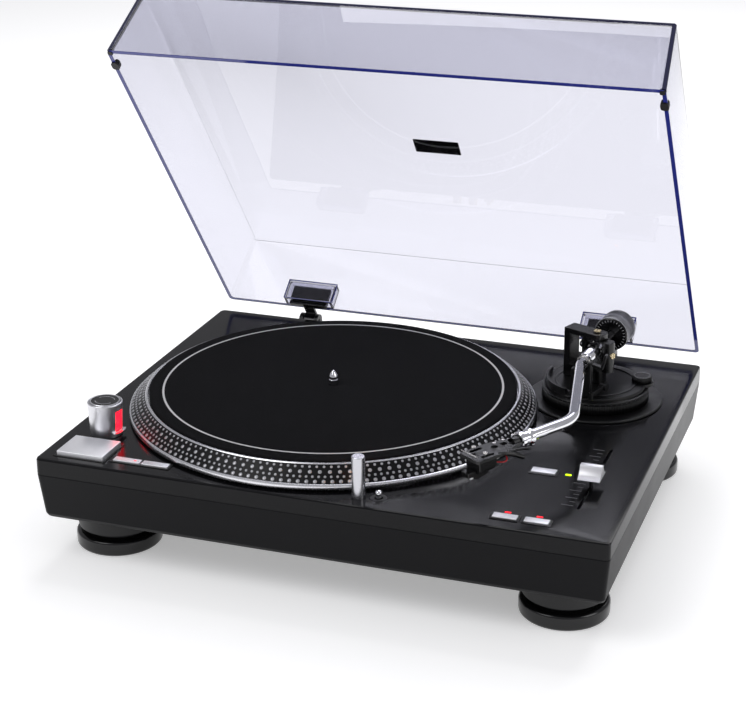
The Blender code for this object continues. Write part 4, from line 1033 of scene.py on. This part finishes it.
def pitch_fader():
    """The bell-shaped cap over its slot, and the scale beside it."""
    low, high = mm_box("fader_cap")
    deck = mm_box("top_cover")[1].z
    size, centre = high - low, (low + high) / 2
    half, base = size.y / 2, deck + FADER_UNDERSIDE
    flank = [(1.0, 0.09), (0.85, 0.17), (0.62, 0.3), (0.44, 0.5), (0.32, 0.72), (0.26, 0.87), (0.2, 1.0)]
    side = smooth_path([(half * out, base + (high.z - base) * up, 0) for out, up in flank], 4)
    front = [(half - 0.6, base), *[(point.x, point.y) for point in side]]
    outline = front + [(-y, z) for y, z in reversed(front)]
    ends = ((low.x, 0.97), (low.x + 0.35, 1.0), (high.x - 0.35, 1.0), (high.x, 0.97))
    waist = (base + high.z) / 2
    rings = [
        [(x, centre.y + y * share, waist + (z - waist) * share) for y, z in outline] for x, share in ends
    ]
    stem = pillow(1.6, 6.0, low.z, base + 0.6, 0.3, 0.2, (centre.x, centre.y))
    body = joined(loft(rings), stem)
    piece("fader_cap_piece", body, [brushed_aluminium(), black_abs()], "fader", ["fader_cap"])
    refined("fader_track", zinc_sheet(), 0.3)
    track_low, track_high = mm_box("fader_track")
    count = bpy.context.scene.turntable_controls.tick_count
    start_y = (track_low.y + track_high.y) / 2 - PITCH_SCALE / 2
    step = PITCH_SCALE / (count - 1)
    x = centre.x - 9.2
    for name, first, every, length in (("long_ticks", 0, 2, 9.0), ("short_ticks", 1, 2, 4.5)):
        start = (x - (9.0 - length) / 2 + (9.0 - length), start_y + first * step, deck + 0.03)
        row_of(name, printed_ink(), "case", (count - first + 1) // 2, start,
               (0, step * every, 0), (length, 0.45, 0.06))


def target_light():
    """The pop-up lamp tube, lit near its top, and its release pin."""
    settings = bpy.context.scene.turntable_controls
    refined("target_light", satin_chrome(), 0.5, 3)
    refined("target_light_socket", black_abs(), 0.4)
    low, high = mm_box("target_light")
    platter, centre = joint_place("platter_spin"), (low + high) / 2
    towards = (Vector((platter.x, platter.y)) - Vector((centre.x, centre.y))).normalized()
    spot = (centre.x + towards.x * 3.4, centre.y + towards.y * 3.4)
    turn = Matrix.Rotation(math.atan2(towards.y, towards.x), 4, "Z")
    place = Matrix.Translation((*spot, 0)) @ turn
    bulb = pillow(0.8, 4.4, high.z - 8.6, high.z - 3.4, 0.3, 0.2)
    piece("target_bulb", bulb, [lamp("warm_lamp", settings.warm, 30.0)], "target_light",
        place=place)
    low, high = mm_box("light_release_button")
    radius, place = (high.x - low.x) / 2, Matrix.Translation(((low.x + high.x) / 2, (low.y + high.y) / 2, 0))
    dome = [(0, low.z), (radius - 0.4, low.z), (radius - 0.4, high.z - 3.2), (radius, high.z - 2.8)]
    dome += [
        (radius * math.cos(math.radians(a)), high.z - 2 + 2 * math.sin(math.radians(a))) for a in (0, 25, 50, 75)
    ]
    dome += [(0, high.z)]
    piece("light_release_piece", turned(dome, 40), [chrome()], "light_release",
          ["light_release_button"], place)
    deck = mm_box("top_cover")[1].z
    rim = [(radius + 0.6, deck + 0.02), (6.2, deck + 0.02), (6.2, deck + 0.25), (5.7, deck + 0.3),
        (radius + 0.6, deck + 0.1)]
    piece("release_surround", turned(rim, 48), [black_abs()], "case", place=place)


# Tonearm base


class TURNTABLE_OT_arm_base(bpy.types.Operator):
    """Base plate, height ring, pedestal, gimbal frame, lift, rest and anti-skate knob"""

    bl_idname = "turntable.arm_base"
    bl_label = "Tonearm base"

    def execute(self, context):
        refined("arm_base_plate", black_abs(), 0.3)
        height_ring()
        pedestal_pieces()
        anti_skate()
        refined("gimbal_frame", powder_black(), 0.9, 3)
        pivot_screw()
        for node in ("cue_lever", "cue_lift", "arm_rest", "arm_clip"):
            refined(node, black_abs(), 0.35)
        return {"FINISHED"}


def height_ring():
    """The height ring with its ribbed grip and a groove in its top."""
    low, high = mm_box("height_ring")
    outer, inner = (high.x - low.x) / 2, 36.4
    bottom, top = low.z, high.z
    profile = [(inner, bottom), (outer - 1.6, bottom), (outer - 0.9, bottom + 0.8), (outer - 0.9, top - 2.6)]
    profile += [(outer - 0.2, top - 2.1), (outer - 0.1, top - 0.9), (outer - 0.8, top - 0.2),
        (outer - 1.8, top)]
    profile += [(outer - 2.6, top - 0.1), (outer - 3.0, top - 0.8), (outer - 3.8, top - 0.8),
        (outer - 4.2, top)]
    profile += [(inner + 0.4, top), (inner, top - 0.4)]
    place = Matrix.Translation((*joint_place("height_ring_turn").xy, 0))
    piece("height_ring_piece", turned(profile, 128), [black_abs()], "height_ring",
        ["height_ring"], place)
    count = bpy.context.scene.turntable_arm.knurls
    ring_of("bar", "height_ring_ribs", black_abs(), "height_ring", count, outer - 0.75,
            (bottom + top - 2.2) / 2, (0.55, 0.55, (top - 2.6 - bottom) / 2), place=place)
    ring_of("dome", "height_ring_marks", printed_ink(), "height_ring", 60, outer - 0.2,
            top - 1.5, (0.14, 0.22, 0.35), place=place)


def pedestal_pieces():
    """The pedestal and the low step on it."""
    refined("arm_pedestal", black_abs(), 0.4, 3)
    place = Matrix.Translation((*joint_place("height_ring_turn").xy, 0))
    top = mm_box("arm_rest")[0].z - 0.3
    steps = [(31.5, top - 0.3), (33.5, top - 0.3), (33.5, top + 0.5), (33.0, top + 0.8), (32.0, top + 0.8),
        (31.5, top + 0.5)]
    piece("pedestal_step", turned(steps, 96), [black_abs()], "pedestal", place=place)


def anti_skate():
    """The anti-skate knob: ribbed side, dished top and a ring of marks."""
    low, high = mm_box("anti_skate_knob")
    centre, radius = (low + high) / 2, (high.x - low.x) / 2
    place = Matrix.Translation((centre.x, centre.y, 0))
    profile = [(0, low.z), (radius - 0.7, low.z), (radius - 0.7, high.z - 1.2), (radius - 0.9, high.z - 0.3)]
    profile += [(radius - 1.6, high.z), (radius - 2.4, high.z - 0.1), (radius - 3.0, high.z - 0.5),
        (0, high.z - 0.5)]
    piece("anti_skate_piece", turned(profile, 64), [black_abs()], "anti_skate_knob",
          ["anti_skate_knob"], place)
    ring_of("bar", "anti_skate_ribs", black_abs(), "anti_skate_knob", 32, radius - 0.55,
            (low.z + high.z) / 2 - 0.3, (0.5, 0.5, (high.z - low.z) / 2 - 0.5), place=place)
    ring_of("dome", "anti_skate_marks", white_ink(), "anti_skate_knob", 16, radius - 1.9,
            high.z - 0.02, (0.7, 0.24, 0.08), place=place)


def screw_head(radius, height):
    """A domed head with a cross-slot cut by four raised quarters."""
    quarters = []
    for quarter in range(4):
        turn = Matrix.Rotation(math.radians(90 * quarter), 4, "Z")
        block = pillow(radius * 0.62, radius * 0.62, height * 0.6, height, 0.2, 0.15,
            (radius * 0.42, radius * 0.42))
        block.transform(turn)
        quarters.append(block)
    disc = turned([(0, 0), (radius, 0), (radius, height * 0.5), (radius * 0.9, height * 0.7),
        (0, height * 0.75)], 32)
    return joined(disc, *quarters)


def pivot_screw():
    """The gilt screw on the upright pivot."""
    top = mm_box("gimbal_frame")[1].z
    pivot = joint_place("arm_swing")
    place = Matrix.Translation((pivot.x, pivot.y, top - 0.5))
    piece("pivot_screw", screw_head(3.2, 1.3), [brass()] * 5, "pedestal", place=place)


# Tonearm


class TURNTABLE_OT_tonearm(bpy.types.Operator):
    """Pivot block, tube, collar, headshell, cartridge and counterweight"""

    bl_idname = "turntable.tonearm"
    bl_label = "Tonearm"

    def execute(self, context):
        pivot_block()
        arm_tube()
        headshell_pieces()
        counterweight_pieces()
        return {"FINISHED"}


def arm_point(distance):
    """The tube's centre line in the arm's frame, before its bends are rounded."""
    settings = bpy.context.scene.turntable_arm
    x, y = 0.0, 0.0
    for angle, length in zip(settings.leg_angles, settings.leg_lengths):
        step = min(distance, length)
        x -= step * math.sin(math.radians(angle))
        y -= step * math.cos(math.radians(angle))
        distance -= step
        if distance <= 0:
            break
    return Vector((x, y))


def filleted(points, radius, steps=12):
    """A path with its inner corners turned into arcs."""
    path = [points[0]]
    for before, corner, after in zip(points, points[1:], points[2:]):
        arriving, leaving = (corner - before).normalized(), (after - corner).normalized()
        turn = arriving.angle_signed(leaving)
        setback = radius * math.tan(abs(turn) / 2)
        side = Vector((arriving.y, -arriving.x)) * math.copysign(radius, turn)
        centre = corner - arriving * setback + side
        for step in range(steps + 1):
            path.append(centre + Matrix.Rotation(-turn * step / steps, 2) @ -side)
    return path + [points[-1]]


def arm_tube():
    """The chromed tube with its nose at the pivot, a collar ring and the rear stub."""
    settings = bpy.context.scene.turntable_arm
    arm, shell = arm_frames()
    legs = list(settings.leg_lengths)
    collar = mm_box("arm_collar", shell.inverted())
    end = sum(legs) - (collar[0].y + collar[1].y) / 2
    nose = 27.0
    corners = [arm_point(distance) for distance in (nose, legs[0], legs[0] + legs[1], end)]
    path = filleted(corners, settings.bend_radius)
    back = -arm_point(1.0)
    stub = mm_box("arm_tube", arm.inverted())[1].y / back.y
    stations = [(stub, 2.9), (stub - 0.6, 3.5), (5, 3.5), (4, 5.6), (-22.4, 5.6), (-23.2, 5.2), (-24, 4.9)]
    stations += [(-24.4, 4.3)]
    points = [back * distance for distance, _ in stations] + path
    radii = [radius for _, radius in stations] + [settings.tube_radius] * len(path)
    tube = swept([(point.x, point.y, 0) for point in points], radii, 40)
    ring_at = arm_point(31.0)
    along = back.normalized()
    ring_path = [ring_at + along * offset for offset in (-1.6, -1.3, 1.3, 1.6)]
    ring = swept([(point.x, point.y, 0) for point in ring_path], [4.9, 5.2, 5.2, 4.9], 40)
    lift_axis = arm.inverted().to_3x3() @ Vector(JOINTS["arm_lift"]["axis"])
    axle = swept([tuple(lift_axis * -7.2), tuple(lift_axis * 7.2)], [3, 3], 24)
    mesh = joined(tube, ring, axle)
    piece("arm_tube_piece", mesh, [chrome(), satin_nickel(), satin_nickel()], "tonearm",
        ["arm_tube"], arm)
    shell_collar(shell)


def shell_collar(shell):
    """The locking collar: two bright flanges round a grooved waist, and a ring of ribs on one flange."""
    low, high = mm_box("arm_collar", shell.inverted())
    length, outer, bore = high.y - low.y, (high.x - low.x) / 2, 4.7
    profile = [(bore, 0), (outer - 0.8, 0), (outer, 0.6), (outer, 3.6), (outer - 0.5, 4.2),
        (outer - 1.3, 4.6)]
    profile += [(outer - 1.3, length - 4.4), (outer - 0.5, length - 3.8), (outer, length - 3.2),
        (outer, length - 0.8)]
    profile += [(outer - 0.8, length), (bore, length)]
    mesh = turned(profile, 64)
    place = shell @ Matrix.Translation((0, low.y, 0)) @ rotated_about("X", -90)
    piece("arm_collar_piece", mesh, [chrome()], "arm_collar", ["arm_collar"], place)
    ring_of("bar", "collar_ribs", chrome(), "arm_collar", 30, outer - 0.35, length - 2.0,
            (0.28, 0.28, 1.3), place=place)


def pivot_block():
    """The turning block: black posts, a plated bearing housing and its side screw."""
    refined("pivot_block", powder_black(), 0.6, 3)
    pivot = joint_place("arm_swing")
    level = -Vector(JOINTS["arm_lift"]["axis"]).normalized()
    place = frame_of(pivot, Vector((0, 0, 1)), level.cross(Vector((0, 0, 1))), level)
    low, high = mm_box("pivot_block", place.inverted())
    housing = [(0, low.z - 0.2), (2.9, low.z - 0.2), (3.3, low.z + 0.3), (3.3, low.z + 4.2),
        (3.9, low.z + 4.6)]
    housing += [(3.9, low.z + 6.2), (0, low.z + 6.2)]
    piece("bearing_housing", turned(housing, 40), [satin_chrome()], "gimbal", place=place)
    skirt = [(0, 0.2), (10.6, 0.2), (11.0, 0.6), (11.0, 4.6), (10.4, 5.2), (0, 5.2)]
    foot_place = Matrix.Translation((pivot.x, pivot.y, mm_box("pivot_block")[0].z))
    piece("block_drum", turned(skirt, 64), [powder_black()], "gimbal", place=foot_place)
    side = place @ Matrix.Translation((-1.5, 0, high.z - 0.5))
    piece("level_pivot_screw", screw_head(2.7, 1.3), [brass()] * 5, "gimbal", place=side)


def headshell_pieces():
    """The headshell with its screws, finger lift and leads, the cartridge and the stylus."""
    shell = arm_frames()[1]
    refined("headshell", powder_black(), 0.35, 3)
    refined("cartridge", gloss_abs(), 0.5, 3)
    refined("stylus", gloss_abs(), 0.35, 3)
    top = mm_box("headshell", shell.inverted())[1].z
    for name, x, y in (("left", -6.0, 10.0), ("right", 7.0, 9.5)):
        place = shell @ Matrix.Translation((x, y, top - 0.05))
        piece(f"cartridge_screw_{name}", screw_head(1.8, 1.1), [satin_nickel()] * 5, "tonearm",
            place=place)
    for index, (x, y) in enumerate(((-2.5, 26.5), (-2.5, 35.0), (-4.0, 46.0))):
        dimple = turned([(0, 0), (1.3, 0), (1.3, 0.06), (0.9, 0.1), (0.9, 0.05), (0, 0.05)], 24)
        place = shell @ Matrix.Translation((x, y, top))
        piece(f"headshell_dimple_{index + 1}", dimple, [satin_nickel()], "tonearm", place=place)
    bar = swept([(-8.6, 0.2, top), (-3, 0.0, top + 0.25), (3, 0.0, top + 0.25), (8.6, 0.2, top)],
        [0.45] * 4, 12)
    piece("headshell_front_bar", bar, [satin_nickel()], "tonearm", place=shell)
    path = smooth_path([(8.0, 21.0, 0.2), (9.6, 26.0, 0.0), (11.4, 32.0, -1.6), (12.6, 38.0, -4.6),
        (12.8, 41.0, -6.2)])
    radii = [1.5 + 0.5 * min(1.0, 2 * index / len(path)) for index in range(len(path))]
    piece("finger_lift", swept(path, radii, 20), [powder_black()], "tonearm", place=shell)
    low = mm_box("stylus", shell.inverted())[0]
    tip = pillow(4.6, 3.0, low.z + 2.4, low.z + 3.0, 0.6, 0.25, (2.5, low.y + 2.6))
    piece("stylus_mark", tip, [coloured_plastic("white_abs", "#e8e8ec")], "tonearm", place=shell)
    cartridge_leads(shell)


def cartridge_leads(shell):
    """Four fine leads bulging from the cartridge's pins up into the headshell."""
    high = mm_box("cartridge", shell.inverted())[1]
    leads = (("blue", "#2a4ab0"), ("white", "#e6e6e6"), ("green", "#1f8a3c"), ("red", "#c41c24"))
    for index, (name, colour) in enumerate(leads):
        x = -4.2 + 2.8 * index
        z = high.z - 3.2 - 3.0 * (index % 2)
        bulge = x + 1.6 + 0.9 * index
        points = [
            (x, high.y - 0.5, z), (x * 1.1, high.y + 3.0, z), (bulge, high.y + 6.0, z + 0.6),
            (bulge, high.y + 8.6, z + 2.4), (x * 0.7, high.y + 10.0, -1.0), (x * 0.5, high.y + 11.2, 0.4),
        ]
        path = smooth_path(points)
        piece(f"lead_{name}", swept(path, [0.5] * len(path), 10), [coloured_plastic(f"{name}_pvc", colour)],
              "tonearm", place=shell)


def smooth_path(points, steps=5):
    """Catmull-Rom through the points."""
    padded = [points[0], *points, points[-1]]
    path = []
    for p0, p1, p2, p3 in zip(padded, padded[1:], padded[2:], padded[3:]):
        p0, p1, p2, p3 = Vector(p0), Vector(p1), Vector(p2), Vector(p3)
        for step in range(steps):
            t = step / steps
            path.append(0.5 * (2 * p1 + (p2 - p0) * t + (2 * p0 - 5 * p1 + 4 * p2 - p3) * t**2
                               + (3 * p1 - p0 - 3 * p2 + p3) * t**3))
    return path + [Vector(points[-1])]


def counterweight_pieces():
    """The ribbed weight, the dial in front of it and the sleeve inside."""
    stub = stub_frame()
    refined("weight_sleeve", black_abs(), 0.3)
    low, high = mm_box("counterweight", stub.inverted())
    outer, front, rear, bore = (high.x - low.x) / 2, low.z, high.z, 7.0
    profile = [(bore, front), (outer - 0.7, front), (outer, front + 0.5), (outer, front + 1.4),
        (outer - 0.5, front + 1.7)]
    profile += [(outer - 0.5, rear - 3.2), (outer, rear - 2.8), (outer - 0.2, rear - 1.2),
        (outer - 1.8, rear - 0.2)]
    profile += [(outer - 3, rear), (bore, rear)]
    mesh = turned(profile, 96)
    piece("counterweight_piece", mesh, [knurled_steel()], "counterweight",
        ["counterweight"], stub)
    ring_of("bar", "counterweight_ribs", knurled_steel(), "counterweight", 110, outer - 0.45,
            (front + rear - 1.5) / 2, (0.3, 0.3, (rear - front - 5.2) / 2), place=stub)
    low, high = mm_box("force_dial", stub.inverted())
    outer, bore = (high.x - low.x) / 2, 4.0
    dial = [(bore, low.z), (outer - 1.0, low.z), (outer - 0.2, low.z + 0.6), (outer, low.z + 1.2),
        (outer, high.z), (bore, high.z)]
    line = [(outer - 0.3, low.z + 0.7), (outer + 0.03, low.z + 1.3), (outer + 0.03, low.z + 1.8),
        (outer - 0.3, low.z + 1.8)]
    mesh = joined(turned(dial, 96), turned(line, 96))
    piece("force_dial_piece", mesh, [gloss_abs(), white_ink()], "force_dial", ["force_dial"],
        stub)
    ring_of("dome", "dial_marks", white_ink(), "force_dial", 28, outer - 2.6, low.z,
            (1.1, 0.18, 0.08), place=stub)


# Dust cover


class TURNTABLE_OT_dust_cover(bpy.types.Operator):
    """Clear cover with its coloured edges, hinge pockets, bumpers and badge"""

    bl_idname = "turntable.dust_cover"
    bl_label = "Dust cover"

    def execute(self, context):
        opened = cover_frame()
        cover_walls(opened)
        cover_trim(opened)
        for side in ("left", "right"):
            refined(f"lid_leaf_{side}", gloss_abs(), 0.4, 3)
            refined(f"hinge_bracket_{side}", black_abs(), 0.4)
        return {"FINISHED"}


def cover_shape(opened):
    """The closed cover's corners and draft, in millimetres."""
    inverse = opened.inverted()
    points = [inverse @ (vertex.co / MM) for vertex in frame["nodes"]["lid"].data.vertices]
    low = Vector([min(point[axis] for point in points) for axis in range(3)])
    high = Vector([max(point[axis] for point in points) for axis in range(3)])
    crown = [point for point in points if point.z > high.z - 0.05]
    draft = high.x - max(point.x for point in crown)
    return low, high, draft


def cover_walls(opened):
    """The cover as one moulding: an outer skin with a rounded crown, and an inner skin."""
    settings = bpy.context.scene.turntable_cover
    low, high, inset = cover_shape(opened)
    centre = ((low.x + high.x) / 2, (low.y + high.y) / 2)
    width, depth, wall = high.x - low.x, high.y - low.y, settings.wall
    edge, corner = CROWN_EDGE, COVER_CORNER
    draft = inset - edge

    def ring(z, pull, radius):
        return [(x, y, z) for x, y in rounded_outline(width - 2 * pull, depth - 2 * pull, radius, centre)]

    arc = [math.radians(a) for a in (0, 30, 60, 90)]
    rings = [
        ring(high.z - edge + edge * math.sin(a), draft + edge * (1 - math.cos(a)), corner)
        for a in reversed(arc)
    ]
    rings += [ring(low.z, 0, corner), ring(low.z, wall, 2.5)]
    rings += [ring(high.z - wall - 0.8, draft + wall, 2.5), ring(high.z - wall, draft + wall + 0.8, 2.5)]
    piece("lid_piece", loft(rings), [clear_acrylic()], "dust_cover", ["lid"], opened)
    cover_edges(opened, low, high, draft, wall, centre)


def strip(points, across, finish, name, opened):
    """A thin polished strip along a path, square in section."""
    rings = []
    for point in points:
        base = Vector(point)
        rings.append([tuple(base + Vector(offset)) for offset in across])
    piece(name, loft(rings), [finish], "dust_cover", place=opened)


def cover_edges(opened, low, high, draft, wall, centre):
    """Where light gathers in the acrylic: the rim all round, and the front wall's corners."""
    settings = bpy.context.scene.turntable_cover
    rim_finish = acrylic_edge("acrylic_rim", settings.edge)
    deep = acrylic_edge("acrylic_corner", settings.deep_edge)
    width, depth = high.x - low.x, high.y - low.y
    t = 0.25
    outer = rounded_outline(width + 0.1, depth + 0.1, COVER_CORNER, centre)
    inner = rounded_outline(width - 2 * wall - 0.1, depth - 2 * wall - 0.1, 2.5, centre)
    rings = [[(x, y, z) for x, y in outline] for outline, z in (
        (inner, low.z + t), (inner, low.z - t), (outer, low.z - t), (outer, low.z + t), (inner, low.z + t),
    )]
    piece("lid_rim_edge", loft(rings, capped=False), [rim_finish], "dust_cover", place=opened)
    front_y, top = low.y + draft, high.z
    x_side = high.x - draft
    square = [(0, -0.15, -3.0), (0, 3.0, -3.0), (0, 3.0, 0.15), (0, 0.8, 0.15), (0, -0.15, -0.8)]
    strip([(-x_side + 1.2, front_y, top), (x_side - 1.2, front_y, top)], square, deep, "lid_front_edge",
        opened)
    for side, name in ((-1, "left"), (1, "right")):
        foot_point = (side * (high.x - 0.7), low.y + 0.7, low.z + 1)
        head_point = (side * (x_side - 0.7), front_y + 0.7, top - 1)
        offsets = [(side * 0.78, 2.4, 0), (side * 0.78, 0.4, 0), (side * 0.1, -0.45, 0),
            (-side * 0.5, -0.78, 0),
                   (-side * 2.4, -0.78, 0), (-side * 2.4, 2.4, 0)]
        strip([foot_point, head_point], offsets, deep, f"lid_corner_{name}", opened)


def cover_trim(opened):
    """Hinge pockets, rubber bumpers on the side rims, and the blank badge on top."""
    low, high, _ = cover_shape(opened)
    for side in ("left", "right"):
        pocket(side, opened, low)
        sign = -1 if side == "left" else 1
        x = sign * (high.x - 2.2)
        body = pillow(6.4, 8.0, low.z - 1.6, low.z + 3.6, 2.6, 1.2, (x, low.y + 17.5))
        piece(f"bumper_{side}", body, [foot_rubber()], "dust_cover", place=opened)
        stop = pillow(4.0, 4.0, low.z - 0.9, low.z + 2.0, 1.2, 0.6, (sign * (high.x - 2.6), low.y + 2.8))
        piece(f"corner_pad_{side}", stop, [foot_rubber()], "dust_cover", place=opened)
    badge = pillow(40, 17, high.z - 0.1, high.z + 0.5, 1.0, 0.25, (0, (low.y + high.y) / 2 + 1))
    piece("cover_badge", badge, [gloss_abs()], "dust_cover", place=opened)


def pocket(side, opened, low):
    """A clear five-walled box on the rear wall that takes the hinge's blade."""
    leaf_low, leaf_high = mm_box(f"lid_leaf_{side}", opened.inverted())
    centre_x = (leaf_low.x + leaf_high.x) / 2
    face = 47.0
    back_y = mm_box("lid", opened.inverted())[1].y - 2.4
    depth, height = 10.6, 20.6
    outer = rounded_outline(face, depth, 1.2, (centre_x, back_y - depth / 2), 3)
    inner = rounded_outline(face - 5, depth - 4, 0.6, (centre_x, back_y - depth / 2), 3)
    rings = [[(x, y, z) for x, y in outline] for outline, z in (
        (inner, low.z + height - 2.2), (inner, low.z + 0.3), (outer, low.z + 0.3),
        (outer, low.z + height - 0.8),
    )]
    rings.append([(x, y, low.z + height) for x, y in rounded_outline(face - 1.6, depth - 1.6, 0.8,
        (centre_x, back_y - depth / 2), 3)])
    piece(f"hinge_pocket_{side}", loft(rings), [clear_acrylic()], "dust_cover", place=opened)
    settings = bpy.context.scene.turntable_cover
    finish = acrylic_edge("acrylic_pocket_edge", settings.edge)
    front = back_y - depth - 0.05
    half = face / 2
    frame_path = [(-half, low.z + 0.6), (half, low.z + 0.6), (half, low.z + height - 0.3),
        (-half, low.z + height - 0.3)]
    bars = []
    for start, end in zip(frame_path, frame_path[1:] + frame_path[:1]):
        points = [(centre_x + start[0], front, start[1]), (centre_x + end[0], front, end[1])]
        bars.append(swept(points, [0.55, 0.55], 8))
    piece(f"pocket_edges_{side}", joined(*bars), [finish] * 4, "dust_cover", place=opened)


# Electronics inside


class TURNTABLE_OT_electronics(bpy.types.Operator):
    """Transformer and main board inside the case"""

    bl_idname = "turntable.electronics"
    bl_label = "Electronics"

    def execute(self, context):
        refined("transformer", ferrite(), 0.8)
        refined("main_board", circuit_board(), 0.2)
        return {"FINISHED"}


# Stage


class TURNTABLE_OT_stage(bpy.types.Operator):
    """White floor, soft lights and the camera"""

    bl_idname = "turntable.stage"
    bl_label = "Stage"

    def execute(self, context):
        floor()
        softbox("key_light", (-0.9, -1.1, 1.7), (0, 0, 0.05), 1.2, 12)
        softbox("top_light", (0.0, 1.3, 1.8), (0, 0, 0.0), 1.6, 25)
        softbox("side_light", (1.7, -0.3, 1.0), (0, 0, 0.1), 1.0, 7)
        studio_air()
        camera(context.scene.turntable_stage)
        context.scene.view_settings.view_transform = "Standard"
        return {"FINISHED"}


def floor():
    mesh = loft([[(x, y, z) for x, y in rounded_outline(24000, 24000, 100)] for z in (-20, 0)])
    made = bpy.data.objects.new("floor", mesh)
    bpy.context.scene.collection.objects.link(made)
    finish, _ = finish_named("white_floor", "#f4f4f4", 0.8, sockets={"Specular IOR Level": 0.0})
    shader_of(finish).inputs["Emission Color"].default_value = (1, 1, 1, 1)
    shader_of(finish).inputs["Emission Strength"].default_value = 0.36
    mesh.materials.append(finish)


def softbox(name, place, target, size, power):
    light = bpy.data.lights.new(name, "AREA")
    light.size = size
    light.energy = power
    made = bpy.data.objects.new(name, light)
    made.location = place
    made.rotation_euler = (Vector(target) - Vector(place)).to_track_quat("-Z", "Y").to_euler()
    bpy.context.scene.collection.objects.link(made)


def studio_air():
    """A dim studio above the floor, so that black surfaces stay black."""
    world = bpy.data.worlds.new("studio")
    world.use_nodes = True
    background = world.node_tree.nodes["Background"]
    background.inputs["Color"].default_value = (0.36, 0.36, 0.38, 1)
    bpy.context.scene.world = world


def camera(settings):
    """The camera stands to the right of the front edge and looks down at the deck."""
    lens = bpy.data.cameras.new("camera")
    lens.lens = settings.lens
    lens.sensor_width = 36
    lens.shift_x, lens.shift_y = LENS_SHIFT
    lens.clip_end = 60
    made = bpy.data.objects.new("camera", lens)
    right, back, up = CAMERA_PLACE
    deck_middle = CAD_BOUNDS[0].y + DECK_DEPTH / 2 * MM
    made.location = (right, back + deck_middle, up + mm_box("top_cover")[1].z * MM)
    heading = Matrix.Rotation(math.radians(settings.azimuth), 4, "Z")
    pitch = Matrix.Rotation(math.radians(90 - settings.elevation), 4, "X")
    roll = Matrix.Rotation(math.radians(settings.roll), 4, "Z")
    made.matrix_world = Matrix.Translation(made.location) @ heading @ pitch @ roll
    bpy.context.scene.collection.objects.link(made)
    bpy.context.scene.camera = made


# Panel and registration


class TURNTABLE_PT_pieces(bpy.types.Panel):
    """Builds the turntable piece by piece"""

    bl_label = "Turntable"
    bl_idname = "TURNTABLE_PT_pieces"
    bl_space_type = "VIEW_3D"
    bl_region_type = "UI"
    bl_category = "Turntable"

    def draw(self, context):
        for group in SETTINGS:
            settings = getattr(context.scene, group)
            box = self.layout.box()
            for name in settings.__annotations__:
                box.prop(settings, name)
        for operator in OPERATORS:
            self.layout.operator(operator.bl_idname)


OPERATORS = (
    TURNTABLE_OT_case,
    TURNTABLE_OT_platter,
    TURNTABLE_OT_controls,
    TURNTABLE_OT_arm_base,
    TURNTABLE_OT_tonearm,
    TURNTABLE_OT_dust_cover,
    TURNTABLE_OT_electronics,
    TURNTABLE_OT_stage,
)


def register():
    for group, settings in SETTINGS.items():
        bpy.utils.register_class(settings)
        setattr(bpy.types.Scene, group, PointerProperty(type=settings))
    for item in (*OPERATORS, TURNTABLE_PT_pieces):
        bpy.utils.register_class(item)


def unregister():
    for item in (TURNTABLE_PT_pieces, *reversed(OPERATORS)):
        bpy.utils.unregister_class(item)
    for group, settings in SETTINGS.items():
        delattr(bpy.types.Scene, group)
        bpy.utils.unregister_class(settings)


def main():
    register()
    bpy.ops.turntable.case()
    bpy.ops.turntable.platter()
    bpy.ops.turntable.controls()
    bpy.ops.turntable.arm_base()
    bpy.ops.turntable.tonearm()
    bpy.ops.turntable.dust_cover()
    bpy.ops.turntable.electronics()
    bpy.ops.turntable.stage()


if __name__ == "__main__":
    main()
